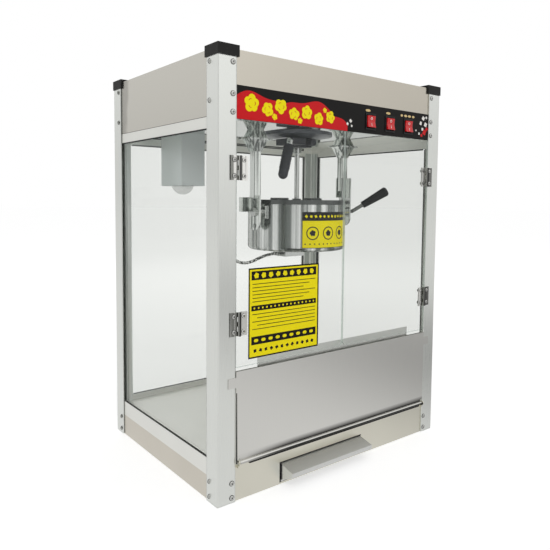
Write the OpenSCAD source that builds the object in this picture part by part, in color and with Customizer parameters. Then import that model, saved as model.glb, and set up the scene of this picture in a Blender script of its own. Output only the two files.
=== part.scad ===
// Countertop popcorn cabinet: glass-sided case on four corner posts, tilting kettle with a
// driven stirrer, serving flap, kernel drawer and three rocker switches.
// Axes: +X to the right seen from the front, +Y to the back, +Z up.
// The origin is the middle of the footprint, on the surface that the posts stand on.

/* [Cabinet] */
// Overall width across the posts
cabinet_w = 560; // [520:5:640]
// Overall depth across the posts
cabinet_d = 420; // [410:5:500]
// Height of the corner posts
post_h = 737; // [725:1:800]
// Thickness of the stainless sheets
sheet_t = 1; // [0.8:0.1:1.4]

/* [Posts] */
// Width of each leg of a post
post_leg = 35; // [30:1:37]
// Wall of a post
post_wall = 2.5; // [2:0.1:3.5]
// Side length of a corner cap
cap_size = 41; // [38:1:46]
// Height of a corner cap
cap_h = 18; // [15:1:24]
// How far a corner cap stands proud of the post faces
cap_proud = 1; // [0.5:0.1:2]
// Wall of a corner cap
cap_wall = 3; // [2:0.1:3]

/* [Hood and base] */
// How far the hood sheets rise above the posts
hood_rise = 12; // [6:0.5:14]
// Height of the hood sheets above the ceiling
hood_h = 106; // [95:1:115]
// Height of the bare front fascia
fascia_h = 55.5; // [45:0.5:60]
// Height of the sign panel under the fascia
sign_h = 54.5; // [50:0.5:60]
// Height of the rails that hold the tops of the panes
top_rail_h = 19; // [15:1:24]
// Height of the front base plate
base_h = 62; // [58:1:66]
// Height of the floor above the ground
floor_z = 60; // [58:1:66]
// Height of the plain side skirts
skirt_h = 42; // [40:1:46]
// Height of the rails that hold the feet of the panes
low_rail_h = 30; // [26:1:34]
// Thickness of the bottom plate
bottom_t = 1.2; // [1:0.1:1.8]

/* [Glass] */
// Thickness of the panes and doors
glass_t = 4; // [3:0.1:5]
// Clearance of a pane in its rail, each side
glass_gap = 0.3; // [0.2:0.05:0.5]
// Height of the lower edge of the doors
door_low = 229.5; // [226:0.5:240]
// Gap between the two doors
door_split = 2; // [1:0.5:4]
// Gap between a door and the post beside it or the sign above it
door_gap = 0.8; // [0.5:0.1:2]
// Radius of the rounded lower corners of the doors
door_round = 10; // [4:1:16]

/* [Hinges] */
// Height of a hinge
hinge_h = 40; // [35:1:50]
// Width of one hinge leaf from the pin
leaf_w = 17; // [14:0.5:20]
// Thickness of a hinge leaf
leaf_t = 1.2; // [1:0.1:1.4]
// Distance of the hinge pins from the inner edge of the posts, towards the middle
hinge_in = 5; // [4:0.5:7]
// Height of the upper hinges
hinge_high = 560; // [520:5:580]
// Height of the lower hinges
hinge_low = 303; // [280:1:330]
// Diameter of a hinge pin
hinge_pin_d = 3; // [2.5:0.1:3.2]

/* [Flap and rail] */
// Height of the upper edge of the serving flap
flap_top = 223; // [200:1:225]
// Outer radius of the rolled hem at the foot of the flap
hem_r = 3; // [2.6:0.1:3.4]
// Height of the flap's pivot above the base plate
flap_lift = 5; // [4.5:0.1:6]
// Height of the tabs that rest on the posts
tab_h = 17; // [12:1:20]
// How far the tabs reach over the posts
tab_reach = 15; // [10:1:18]
// Height of the cross rail behind the doors
rail_top = 241; // [235:1:250]

/* [Drawer] */
// Width of the drawer cutout
drawer_w = 204; // [160:2:240]
// Middle of the drawer, off-centre to the left
drawer_x = -45; // [-60:1:0]
// Upper edge of the drawer cutout
drawer_top = 39; // [34:1:42]
// Lower edge of the drawer cutout
drawer_low = 3.5; // [3:0.1:5]
// Depth of the drawer tray
drawer_d = 260; // [180:5:300]
// Clearance round the drawer in its cutout
drawer_gap = 1.5; // [1:0.1:2]
// How far the pull projects
pull_out = 30; // [20:1:36]
// Drop of the sloping pull
pull_drop = 7.5; // [4:0.5:9]
// Height of the lip at the front of the pull
pull_lip = 8; // [5:0.5:10]

/* [Kettle] */
// Outer radius of the kettle
kettle_r = 101; // [90:1:101]
// Height of the kettle shell
kettle_h = 92; // [80:1:94]
// Depth position of the kettle axis
kettle_y = -66; // [-70:1:-60]
// Wall of the kettle shell and pan
kettle_wall = 1.5; // [1:0.1:2]
// Radius of the rounded foot of the kettle
kettle_round = 8; // [5:0.5:12]
// Distance from the ceiling down to the tilting axis
pivot_drop = 158; // [156:1:170]
// Height of the kettle rim above the tilting axis
rim_above = 15; // [12:0.5:16]
// How far the tilting axis lies in front of the kettle axis
pivot_fore = 15; // [14:0.5:16]
// Diameter of the kettle's trunnion pins
trunnion_d = 12; // [8:0.5:14]
// Height of the dark rim of the lids
lid_h = 8.7; // [6:0.1:9]
// Distance from the kettle's wall out to the middle of each hanger
hanger_side = 15; // [13:0.5:29]
// Side length of the square hanger tube
hanger_w = 15; // [12:0.5:16]

/* [Stirrer drive] */
// Diameter of the stirrer shaft
shaft_d = 10; // [8:0.5:11]
// Diameter of the coupling sleeve
sleeve_d = 18; // [16:0.5:20]
// Length of the coupling sleeve
sleeve_h = 10.5; // [10:0.1:11]
// Depth of the coupling slot
slot_h = 9; // [8.5:0.1:9.2]
// Width of the coupling slot
slot_w = 4.4; // [4:0.1:5]
// Depth of the dark round cover under the ceiling
cover_h = 9; // [7:0.5:11]
// Radius of the dark round cover
cover_r = 72; // [66:1:80]
// Height of the dark drive block
block_h = 18; // [14:0.5:18]
// Length of the release lever's grip
grip_l = 70; // [50:1:72]
// Diameter of the release lever's grip
grip_d = 21; // [16:0.5:22]

/* [Switches] */
// Width of a rocker
rocker_w = 21; // [16:0.5:24]
// Height of a rocker
rocker_h = 25; // [20:0.5:28]
// Distance between the rockers
rocker_pitch = 56; // [50:0.5:60]
// Middle rocker, in from the right side of the cabinet
rocker_in = 156; // [145:1:170]
// Height of the rockers above the lower edge of the sign
rocker_up = 23.5; // [20:0.5:27]

/* [Lamp] */
// Width of the lamp housing
lamp_w = 54; // [50:1:60]
// Depth of the lamp housing, front to back
lamp_d = 90; // [60:1:100]
// Length of the lamp housing below the ceiling
lamp_l = 107; // [90:1:120]
// Middle of the lamp housing, in from the left side of the cabinet
lamp_in = 107; // [95:1:120]
// Middle of the lamp housing, in from the back of the cabinet
lamp_fore = 105; // [80:1:120]
// Diameter of the lamp bulb
bulb_d = 47; // [36:1:48]

/* [Hidden] */
$fn = 64;

// Faces of the cabinet
half_w = cabinet_w / 2;
half_d = cabinet_d / 2;
in_x = half_w - post_wall;
in_y = half_d - post_wall;
open_x = half_w - post_leg;
gap = 0.3;
eps = 0.01;
far = 2000;

// Heights of the hood
top_z = post_h + hood_rise;
ceiling_z = top_z - hood_h;
sign_top = top_z - fascia_h;
sign_low = sign_top - sign_h;
top_rail_z = ceiling_z - top_rail_h;
low_rail_top = skirt_h + low_rail_h;
rail_w = glass_t + 2 * glass_gap + 2 * sheet_t;
rail_web = 12;
vent_side = 60;
vent_step = 10;
vent_d = 5;
vent_up = 60;
pane_low = skirt_h + rail_web + sheet_t;
pane_high = ceiling_z - sheet_t - gap;

// Screws
screw_d = 4;
screw_hole = 4.4;
screw_head_d = 7;
screw_head_h = 2;
screw_l = post_wall + sheet_t + 1.5;
screw_in = 28;
front_screw_z = [9, 34, sign_low + 10, sign_low + 39, post_h - 9];
side_screw_z = [10, 36, ceiling_z + 24, post_h - 8];

// Doors and hinges
door_w = open_x - door_gap - door_split / 2;
door_high = sign_low - door_gap;
hinge_x = open_x - hinge_in;
knuckle_r = 2.6;
knuckles = 5;
hinge_y = -half_d - knuckle_r - 0.4;
hinge_screw_x = 9.5;
hinge_screw_z = 13;
hinge_hole = hinge_pin_d + 0.1;
stud_d = 4;
stud_head_d = 6.4;
stud_head_h = 1.4;
door_stops = [hinge_low, hinge_high];

// Flap
flap_back = -half_d - gap;
flap_y = flap_back - hem_r;
flap_z = base_h + flap_lift;
hem_x = open_x - 7;
ear_in = hem_x + 2;
ear_t = 1.5;
ear_r = 5;
flap_pin_d = 2 * (hem_r - sheet_t);
flap_x = open_x - 0.5;
tab_z = flap_top - 27;
rail_step = 49;
rail_lap = 33;
rail_reach = 25;

// Drawer
tray_low = drawer_low + 0.8;
tray_high = drawer_top - 5;
tray_w = drawer_w - 8;
tray_t = 1;
runner_foot = 9;
runner_in = 4;
runner_over = 20;
runner_below = 8;

// Kettle and hangers
pivot_z = ceiling_z - pivot_drop;
pivot_y = kettle_y - pivot_fore;
rim_z = pivot_z + rim_above;
foot_z = rim_z - kettle_h;
pan_rise = 12;
pan_z = foot_z + kettle_wall + pan_rise;
pan_r = kettle_r - kettle_wall - gap;
lid_r = kettle_r - 1;
lid_z = rim_z + gap;
lid_top = lid_z + lid_h;
lid_t = 1.5;
bridge_w = 20;
lid_cut = bridge_w / 2 + 0.5;
lid_hinge_y = bridge_w / 2 + 2.6;
lid_hinge_z = lid_top + 1.6;
lid_barrel_r = 2.4;
lid_pin_d = 3;
lid_barrel_x = 45;
lid_barrel_l = 20;
plate_t = 3;
plate_w = 34;
hub_r = trunnion_d / 2 + 3;
hanger_x = kettle_r + hanger_side;
left_plate_x = hanger_x - plate_t / 2;
right_plate_x = hanger_x + hanger_w / 2;
nut_l = 4;
pin_end = right_plate_x + plate_t + gap + nut_l;

// Hanger fittings, heights from the tilting axis
flare_h = 18;
flare_collar = 24;
left_tube_up = 26;
left_plate_down = 36;
left_plate_up = 32;
flag_w = 25;
flag_t = 1.5;
flag_down = 0;
flag_up = 28;
right_tube_up = 44;
right_plate_down = 31;
right_plate_up = 72;
yoke_down = 30;
yoke_t = 2;
spot_y = 10;
left_spots = [-27, 18];
left_head = 8;
right_spots = [38, 62];
right_head = 5;
pad_w = 15;
pad_up = 12;
pad_down = 13;

// Stirrer and its drive
cover_z = ceiling_z - cover_h;
block_z = cover_z - block_h;
sleeve_z = block_z - gap - sleeve_h;
tongue_w = slot_w - 0.4;
tongue_l = shaft_d - 2;
shaft_top = sleeve_z - 2.4;
tongue_top = sleeve_z + slot_h - 2.5;
spindle_d = 8;
spindle_hole = spindle_d + 0.1;
stir_z = pan_z + kettle_wall + 4;
stir_arm = kettle_r - 14;
lever_side = 56;
lever_x = -lever_side;
lever_fore = 46;
lever_y = kettle_y - lever_fore;
lever_z = block_z + 8;
lever_lean = 14;
lever_pin_d = 5;
lever_t = 5;
lever_pin_l = 11;
lever_pin_cut = 12;
lever_boss = 12;
lever_l = 40;
block_left = 21;
block_right = 13;
block_front = 31;
block_back = 8;
bush_d = 14;
bush_x = 4;
bush_l = 17;
motor_w = 64;
motor_d = 52;
motor_h = 34;
motor_can_d = 50;
motor_can_h = 40;
motor_can_x = 14;
motor_foot_w = 88;
motor_foot_d = 28;
motor_foot_h = 3;
spindle_in = 20;

// Dump handle: a straight rod out of the trunnion, then a bend up and to the front
handle_bend_x = pin_end + 17;
handle_turn = 36;
handle_rise = 31;
rod_d = 8;
rod_l = 47;
dump_grip_l = 60;
dump_grip_d = 21;

// Lamp
lamp_x = half_w - lamp_in;
lamp_y = half_d - lamp_fore;
lamp_socket_h = 40;
lamp_socket_d = 34;
lamp_cap_d = 26;
bulb_up = 5.5;

// Switches
rocker_x = half_w - rocker_in;
rocker_z = sign_low + rocker_up;
rocker_gap = 0.4;
rocker_frame = 2;
rocker_frame_lip = 1.5;
rocker_frame_d = 26;
rocker_bore_d = 20;
rocker_pivot_y = -in_y + 4;

// Cable gland in the rear skirt
inlet_in = 100;
inlet_x = inlet_in - half_w;
inlet_z = 24;
inlet_d = 16;
inlet_l = 12;
inlet_bore = 8;

// Kettle lead, from the terminal box to the ceiling
lead_d = 6;
lead_sides = 8;
lead_steps = 3;
lead_y = kettle_y - 2;
lead_points = concat(
    [for (p = [[-50.4, -8], [-64, -8.5], [-80, -11], [-98, -16], [-113, -21], [-128, -23],
               [-143, -21], [-157, -14], [-170, -3], [-181, 12]])
        [p[0], lead_y, foot_z + p[1]]],
    [for (p = [[-190, 199], [-197, 174], [-202, 144], [-205, 109], [-206, 73], [-206, 41],
               [-206, 16]])
        [p[0], lead_y, ceiling_z - p[1]]]
);
box_left = 44;
box_right = 4;
box_half_d = 20;
box_h = 14;
box_gland_d = 11;
box_gland_l = 6;

// ---------------------------------------------------------------- helpers

// A box from its lowest to its highest corner
module block(low, high) {
    translate(low) cube(high - low);
}

// A cylinder along X from x0 to x1
module rod_x(d, x0, x1, y, z) {
    translate([x0, y, z]) rotate([0, 90, 0]) cylinder(d = d, h = x1 - x0);
}

// A cylinder along Y from y0 to y1
module rod_y(d, y0, y1, x, z) {
    translate([x, y0, z]) rotate([-90, 0, 0]) cylinder(d = d, h = y1 - y0);
}

// An outline in X and Z, made thick along Y from y0 to y1
module plate_xz(y0, y1) {
    translate([0, y1, 0]) rotate([90, 0, 0]) linear_extrude(y1 - y0) children();
}

// An outline in Y and Z, made thick along X from x0 to x1
module plate_yz(x0, x1) {
    translate([x0, 0, 0]) rotate([90, 0, 90]) linear_extrude(x1 - x0) children();
}

// A four-sided taper: half sizes a at z0 and b at z1
module taper(a, b, z0, z1) {
    intersection() {
        plate_xz(-far, far)
            polygon([[-a[0], z0], [a[0], z0], [b[0], z1], [-b[0], z1]]);
        plate_yz(-far, far)
            polygon([[-a[1], z0], [a[1], z0], [b[1], z1], [-b[1], z1]]);
    }
}

// Children in both left and right versions
module both_sides() {
    children();
    mirror([1, 0, 0]) children();
}

// Children for the right side (side = 1) or mirrored to the left (side = -1)
module on_side(side) {
    if (side > 0) children();
    else mirror([1, 0, 0]) children();
}

// Children at each screw of the front (or back) face beside one post, pointing outwards
module front_screws_at(side, end) {
    heights = end < 0 ? front_screw_z : side_screw_z;
    for (z = heights)
        translate([side * (half_w - screw_in), end * half_d, z])
            rotate([-90 * end, 0, 0]) children();
}

// Children at each screw of the side face beside one post, pointing outwards
module side_screws_at(side, end) {
    for (z = side_screw_z)
        translate([side * half_w, end * (half_d - screw_in), z])
            rotate([0, 90 * side, 0]) children();
}

// Children at each screw of the four posts
module every_screw() {
    for (side = [-1, 1], end = [-1, 1]) {
        front_screws_at(side, end) children();
        side_screws_at(side, end) children();
    }
}

// The hole that a frame screw needs
module screw_clearance() {
    translate([0, 0, -screw_l - 1]) cylinder(d = screw_hole, h = screw_l + 2);
}

// A pan-head screw with its head on the face at z = 0
module screw(head_d, head_h, shank_d, shank_l) {
    cylinder(d = head_d, h = head_h * 0.5);
    translate([0, 0, head_h * 0.5]) cylinder(d1 = head_d, d2 = head_d * 0.6, h = head_h * 0.5);
    translate([0, 0, -shank_l]) cylinder(d = shank_d, h = shank_l + eps);
}

// ---------------------------------------------------------------- frame

// One corner post at the right rear, open to the inside
module post_shape() {
    difference() {
        linear_extrude(post_h) difference() {
            union() {
                translate([half_w - post_leg, half_d - post_leg])
                    square([post_leg - post_wall, post_leg]);
                translate([half_w - post_leg, half_d - post_leg])
                    square([post_leg, post_leg - post_wall]);
                translate([in_x, in_y]) circle(r = post_wall);
            }
            translate([-far, -far]) square([far + in_x, far + in_y]);
        }
    }
}

// A post on its side and end, with its screw holes
module post(side, end) {
    difference() {
        scale([side, end, 1]) post_shape();
        front_screws_at(side, end) screw_clearance();
        side_screws_at(side, end) screw_clearance();
        if (end < 0)
            for (z = door_stops, dz = [-hinge_screw_z, hinge_screw_z])
                rod_y(screw_hole, -half_d - 1, -in_y + 1, side * (hinge_x + hinge_screw_x), z + dz);
    }
}

module post_front_left() {
    color("gainsboro") post(-1, -1);
}

module post_front_right() {
    color("gainsboro") post(1, -1);
}

module post_rear_left() {
    color("gainsboro") post(-1, 1);
}

module post_rear_right() {
    color("gainsboro") post(1, 1);
}

// A moulded cap on the top of each post
module corner_caps() {
    cap_x = half_w + cap_proud;
    cap_y = half_d + cap_proud;
    color("black") for (side = [-1, 1], end = [-1, 1]) scale([side, end, 1]) difference() {
        block([cap_x - cap_size, cap_y - cap_size, post_h], [cap_x, cap_y, post_h + cap_h]);
        block([0, 0, post_h - 1], [in_x, in_y, post_h + cap_h - cap_wall]);
    }
}

module roof_panel() {
    x = in_x - sheet_t;
    y = in_y - sheet_t;
    color("silver") block([-x, -y, top_z - sheet_t], [x, y, top_z]);
}

// The left, right and rear sheets of the hood
module hood_panels() {
    x_rear = in_x - sheet_t - gap;
    y_front = -in_y + sheet_t;
    color("silver") difference() {
        union() {
            both_sides() block([in_x - sheet_t, y_front, ceiling_z], [in_x, in_y, top_z]);
            block([-x_rear, in_y - sheet_t, ceiling_z], [x_rear, in_y, top_z]);
        }
        every_screw() screw_clearance();
        for (x = [-vent_side : vent_step : vent_side])
            rod_y(vent_d, in_y - 3, in_y + 1, x, ceiling_z + vent_up);
    }
}

module front_fascia() {
    color("silver") difference() {
        block([-in_x, -in_y, sign_top], [in_x, -in_y + sheet_t, top_z]);
        for (side = [-1, 1]) front_screws_at(side, -1) screw_clearance();
    }
}

// The sign and control panel with its three switch cutouts
module sign_panel() {
    w = rocker_w / 2 + rocker_frame;
    h = rocker_h / 2 + rocker_frame;
    color("black") difference() {
        block([-in_x, -in_y, sign_low], [in_x, -in_y + sheet_t, sign_top]);
        for (side = [-1, 1]) front_screws_at(side, -1) screw_clearance();
        for (i = [-1 : 1])
            translate([rocker_x + i * rocker_pitch, 0, rocker_z])
                block([-w, -in_y - 1, -h], [w, -in_y + sheet_t + 1, h]);
    }
}

// The polished ceiling that carries the hangers, the lamp and the drive
module ceiling_panel() {
    x = in_x - sheet_t;
    y = in_y - sheet_t;
    color("lightgray") difference() {
        block([-x, -y, ceiling_z], [x, y, ceiling_z + sheet_t]);
        translate([0, kettle_y, ceiling_z - 1]) cylinder(d = spindle_d + 4, h = sheet_t + 2);
    }
}

// The channel that holds the edge of a pane, along the whole side or between the side channels
module channel_outline(z0, z1, web) {
    x0 = in_x - rail_w;
    difference() {
        translate([x0, z0]) square([rail_w, z1 - z0]);
        translate([x0 + sheet_t, z0 - 1])
            square([rail_w - 2 * sheet_t, (web > z0 ? web : z0) - z0 + 1]);
        translate([x0 + sheet_t, web + sheet_t])
            square([rail_w - 2 * sheet_t, z1 - web + 1]);
    }
}

// Upper and lower rails at the left, right and rear
module glass_rails() {
    color("silver") for (r = [[top_rail_z, ceiling_z, ceiling_z - sheet_t],
                              [skirt_h, low_rail_top, skirt_h + rail_web]]) {
        both_sides() translate([0, in_y, 0]) rotate([90, 0, 0])
            linear_extrude(2 * in_y - sheet_t) channel_outline(r[0], r[1], r[2]);
        plate_yz(-in_x + rail_w, in_x - rail_w)
            translate([in_y - in_x, 0]) channel_outline(r[0], r[1], r[2]);
    }
}

module side_glass(side) {
    x0 = in_x - rail_w + sheet_t + glass_gap;
    y0 = -in_y + sheet_t + gap;
    on_side(side)
        block([x0, y0, pane_low], [x0 + glass_t, in_y - gap, pane_high]);
}

module side_glass_left() {
    color("lightcyan", 0.4) side_glass(-1);
}

module side_glass_right() {
    color("lightcyan", 0.4) side_glass(1);
}

module rear_glass() {
    x = in_x - rail_w - gap;
    y0 = in_y - rail_w + sheet_t + glass_gap;
    color("lightcyan", 0.4)
        block([-x, y0, pane_low], [x, y0 + glass_t, pane_high]);
}

// Front base plate with the drawer cutout and the two ears that carry the flap
module base_front_plate() {
    half = drawer_w / 2;
    color("silver") difference() {
        union() {
            block([-in_x, -in_y, 0], [in_x, -in_y + sheet_t, base_h]);
            both_sides() plate_yz(ear_in, ear_in + ear_t) union() {
                translate([flap_y, flap_z]) circle(r = ear_r);
                translate([flap_y, flap_z - 9]) square([-in_y + sheet_t - flap_y, 9]);
            }
        }
        block([drawer_x - half, -half_d, drawer_low], [drawer_x + half, -in_y + 2, drawer_top]);
        both_sides() rod_x(flap_pin_d + 0.1, ear_in - 1, ear_in + ear_t + 1, flap_y, flap_z);
        for (side = [-1, 1]) front_screws_at(side, -1) screw_clearance();
    }
}

module base_skirts() {
    x_rear = in_x - sheet_t - gap;
    y_front = -in_y + sheet_t;
    color("silver") difference() {
        union() {
            both_sides() block([in_x - sheet_t, y_front, 0], [in_x, in_y, skirt_h]);
            block([-x_rear, in_y - sheet_t, 0], [x_rear, in_y, skirt_h]);
        }
        every_screw() screw_clearance();
        rod_y(inlet_d + 0.4, in_y - 3, in_y + 1, inlet_x, inlet_z);
    }
}

// The cabinet floor, with rows of holes that let loose kernels fall into the drawer
module floor_pan() {
    x = in_x - rail_w;
    pitch = 18;
    color("silver") difference() {
        block([-x, -in_y + sheet_t, floor_z], [x, in_y - rail_w, floor_z + sheet_t]);
        for (i = [-4 : 4], j = [0 : 6])
            translate([drawer_x + i * pitch, -in_y + 50 + j * pitch, floor_z - 1])
                cylinder(d = 7, h = sheet_t + 2, $fn = 24);
    }
}

module bottom_plate() {
    x = in_x - sheet_t;
    y = in_y - sheet_t;
    color("silver") block([-x, -y, 0], [x, y, bottom_t]);
}

// Pan-head screws of the frame and of the post-side hinge leaves
module frame_screws() {
    color("gray") {
        every_screw() screw(screw_head_d, screw_head_h, screw_d, screw_l);
        for (side = [-1, 1], z = door_stops, dz = [-hinge_screw_z, hinge_screw_z])
            translate([side * (hinge_x + hinge_screw_x), -half_d - leaf_t, z + dz])
                rotate([90, 0, 0]) screw(stud_head_d, stud_head_h, screw_d, leaf_t + post_wall + 1);
    }
}

// ---------------------------------------------------------------- doors

// One leaf of a butt hinge that lies towards +X from its pin; first picks its knuckles
module hinge_leaf(first) {
    step = hinge_h / knuckles;
    clear = knuckle_r + 0.4;
    y_face = -half_d - hinge_y;
    difference() {
        union() {
            block([clear, y_face - leaf_t, -hinge_h / 2], [leaf_w, y_face, hinge_h / 2]);
            for (k = [first : 2 : knuckles - 1]) translate([0, 0, -hinge_h / 2 + k * step]) {
                translate([0, 0, gap / 2]) cylinder(r = knuckle_r, h = step - gap);
                block([0, y_face - leaf_t, gap / 2], [clear + 1, y_face, step - gap / 2]);
            }
        }
        translate([0, 0, -hinge_h]) cylinder(d = hinge_hole, h = 2 * hinge_h);
        if (first == 0)
            for (dz = [-hinge_screw_z, hinge_screw_z])
                rod_y(screw_hole, -4, 4, hinge_screw_x, dz);
    }
}

module hinge_post_leaves() {
    color("silver") both_sides()
        for (z = door_stops) translate([hinge_x, hinge_y, z]) hinge_leaf(0);
}

module hinge_pins() {
    color("gray") both_sides()
        for (z = door_stops)
            translate([hinge_x, hinge_y, z - hinge_h / 2]) cylinder(d = hinge_pin_d, h = hinge_h);
}

// Door leaves with the two studs that clamp each of them to the glass
module door_leaves(side) {
    on_side(side) for (z = door_stops) translate([hinge_x, hinge_y, z]) {
        mirror([1, 0, 0]) hinge_leaf(1);
        for (dz = [-hinge_screw_z, hinge_screw_z])
            translate([-hinge_screw_x, -half_d - hinge_y - leaf_t, dz]) rotate([90, 0, 0])
                screw(stud_head_d, stud_head_h, stud_d, leaf_t + glass_t + 2);
        for (dz = [-hinge_screw_z, hinge_screw_z])
            rod_y(stud_head_d, -half_d - hinge_y + glass_t, -half_d - hinge_y + glass_t + 2,
                  -hinge_screw_x, dz);
    }
}

// A door pane on the right, with its inner lower corner rounded
module door_pane() {
    x0 = door_split / 2;
    x1 = x0 + door_w;
    difference() {
        plate_xz(-half_d, -half_d + glass_t) union() {
            translate([x0 + door_round, door_low]) square([x1 - x0 - door_round, door_round]);
            translate([x0, door_low + door_round]) square([x1 - x0, door_high - door_low - door_round]);
            translate([x0 + door_round, door_low + door_round]) circle(r = door_round);
        }
        for (z = door_stops, dz = [-hinge_screw_z, hinge_screw_z])
            rod_y(stud_d + 0.2, -half_d - 1, -half_d + glass_t + 1, hinge_x - hinge_screw_x, z + dz);
    }
}

module door_left_glass() {
    color("lightcyan", 0.4) on_side(-1) door_pane();
}

module door_left_leaves() {
    color("silver") door_leaves(-1);
}

module door_right_glass() {
    color("lightcyan", 0.4) door_pane();
}

module door_right_leaves() {
    color("silver") door_leaves(1);
}

// ---------------------------------------------------------------- flap, rail and drawer

// Sheet that leans on the posts with two tabs and turns on the pins of its rolled hem
module serving_flap() {
    color("silver") {
        plate_xz(flap_back - sheet_t, flap_back) union() {
            translate([-hem_x, flap_z]) square([2 * hem_x, 9]);
            translate([-flap_x, flap_z + 8]) square([2 * flap_x, flap_top - flap_z - 8]);
            translate([-open_x - tab_reach, tab_z]) square([2 * (open_x + tab_reach), tab_h]);
        }
        rod_x(2 * hem_r, -hem_x, hem_x, flap_y, flap_z);
        rod_x(flap_pin_d, -ear_in - ear_t - 1.5, ear_in + ear_t + 1.5, flap_y, flap_z);
    }
}

// Rail behind the doors: its raised middle shows above the flap, its ends meet the posts
module front_cross_rail() {
    y0 = -half_d + glass_t + 2 + gap;
    raised = open_x - rail_step;
    foot = flap_top - rail_lap;
    reach = open_x + rail_reach;
    color("silver") {
        plate_xz(y0, y0 + sheet_t) union() {
            translate([-reach, foot]) square([2 * reach, flap_top - foot - 1]);
            translate([-raised, foot]) square([2 * raised, rail_top - foot]);
        }
        both_sides() block([open_x + 3, -in_y, foot], [reach, y0 + eps, flap_top - 1]);
    }
}

// The two L-shaped runners on the bottom plate that carry the drawer
module drawer_runners() {
    x1 = tray_w / 2 + gap + sheet_t;
    y0 = -in_y + runner_in;
    y1 = -in_y + drawer_d + runner_over;
    z1 = tray_low - gap;
    color("gray") for (s = [-1, 1]) translate([drawer_x, 0, 0]) scale([s, 1, 1]) {
        block([x1 - sheet_t - runner_foot, y0, bottom_t], [x1, y1, z1]);
        block([x1 - sheet_t, y0, z1 - eps], [x1, y1, tray_high - runner_below]);
    }
}

module drawer_tray() {
    y0 = -in_y + sheet_t;
    color("silver") translate([drawer_x, 0, 0]) difference() {
        block([-tray_w / 2, y0, tray_low], [tray_w / 2, y0 + drawer_d, tray_high]);
        block([-tray_w / 2 + tray_t, y0 + tray_t, tray_low + tray_t],
              [tray_w / 2 - tray_t, y0 + drawer_d - tray_t, tray_high + 1]);
    }
}

// Folded front of the drawer: a face plate, a sloping shelf with a lip, and closed ends
module drawer_pull() {
    half = drawer_w / 2 - drawer_gap;
    z1 = drawer_top - drawer_gap;
    edge_y = -half_d - pull_out;
    lip_z = z1 - pull_drop;
    color("silver") translate([drawer_x, 0, 0]) {
        block([-half, -in_y, tray_low], [half, -in_y + sheet_t, z1]);
        plate_yz(-half, half) polygon([
            [-in_y + eps, z1], [edge_y, lip_z], [edge_y, lip_z - pull_lip],
            [edge_y + sheet_t, lip_z - pull_lip], [edge_y + sheet_t, lip_z - sheet_t],
            [-in_y + eps, z1 - sheet_t]
        ]);
        for (x = [-half, half - sheet_t]) plate_yz(x, x + sheet_t) polygon([
            [-in_y + eps, z1], [edge_y, lip_z], [edge_y, lip_z - pull_lip],
            [-in_y + eps, tray_low + 3]
        ]);
    }
}

// ---------------------------------------------------------------- lamp

module lamp_housing() {
    w = lamp_w / 2;
    d = lamp_d / 2;
    z0 = ceiling_z - lamp_l;
    color("silver") translate([-lamp_x, lamp_y, 0]) difference() {
        block([-w, -d, z0], [w, d, ceiling_z]);
        block([-w + sheet_t, -d + sheet_t, z0 - 1], [w - sheet_t, d - sheet_t, ceiling_z - sheet_t]);
    }
}

module lamp_socket() {
    color("ivory") translate([-lamp_x, lamp_y, ceiling_z - sheet_t - lamp_socket_h]) difference() {
        cylinder(d = lamp_socket_d, h = lamp_socket_h);
        translate([0, 0, -1]) cylinder(d = lamp_cap_d + 1.2, h = lamp_socket_h - 11);
    }
}

// Bulb with its screw cap in the socket
module lamp_bulb() {
    z_socket = ceiling_z - sheet_t - lamp_socket_h;
    z_bulb = ceiling_z - lamp_l + bulb_up;
    color("white") translate([-lamp_x, lamp_y, 0]) {
        translate([0, 0, z_bulb]) sphere(d = bulb_d);
        translate([0, 0, z_bulb]) cylinder(d = lamp_cap_d, h = z_socket + 26 - z_bulb);
    }
}

// ---------------------------------------------------------------- hangers

// Square tube from the ceiling, a flared foot at the top and the bored plate at the bottom,
// whose inner face is at plate_x
module hanger(tube_low, plate_x, plate_low, plate_high) {
    w = hanger_w / 2;
    flare_z = ceiling_z - flare_h;
    translate([hanger_x, pivot_y, 0]) {
        block([-w, -w, tube_low], [w, w, ceiling_z]);
        taper([20, 15], [12, 10], flare_z, ceiling_z);
        taper([w + 1, w + 1], [20, 15], flare_z - flare_collar, flare_z + eps);
        block([-29, -16, flare_z - 1.5], [29, 16, flare_z + 1.5]);
    }
    difference() {
        plate_yz(plate_x, plate_x + plate_t) union() {
            translate([pivot_y - plate_w / 2, plate_low + plate_w / 2])
                square([plate_w, plate_high - plate_low - plate_w / 2]);
            translate([pivot_y, plate_low + plate_w / 2]) circle(d = plate_w);
        }
        rod_x(trunnion_d + 0.1, plate_x - 2, plate_x + plate_t + 2, pivot_y, pivot_z);
    }
}

// Pan heads on the outer face of a hanger's plate
module plate_screws(plate_x, head, spots) {
    for (s = spots)
        translate([plate_x + plate_t, pivot_y + s[0], pivot_z + s[1]]) rotate([0, 90, 0])
            screw(head, head / 3, 3, 1);
}

// Left hanger, its plate in line with the tube and a small flag plate at the rear edge
module hanger_left() {
    flag_y = pivot_y + plate_w / 2;
    color("silver") mirror([1, 0, 0]) {
        hanger(pivot_z + left_tube_up, left_plate_x, pivot_z - left_plate_down,
               pivot_z + left_plate_up);
        block([left_plate_x, flag_y - flag_t, pivot_z + flag_down],
              [left_plate_x + plate_t + flag_w, flag_y, pivot_z + flag_up]);
        plate_screws(left_plate_x, left_head, [for (z = left_spots) [0, z]]);
    }
}

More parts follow.
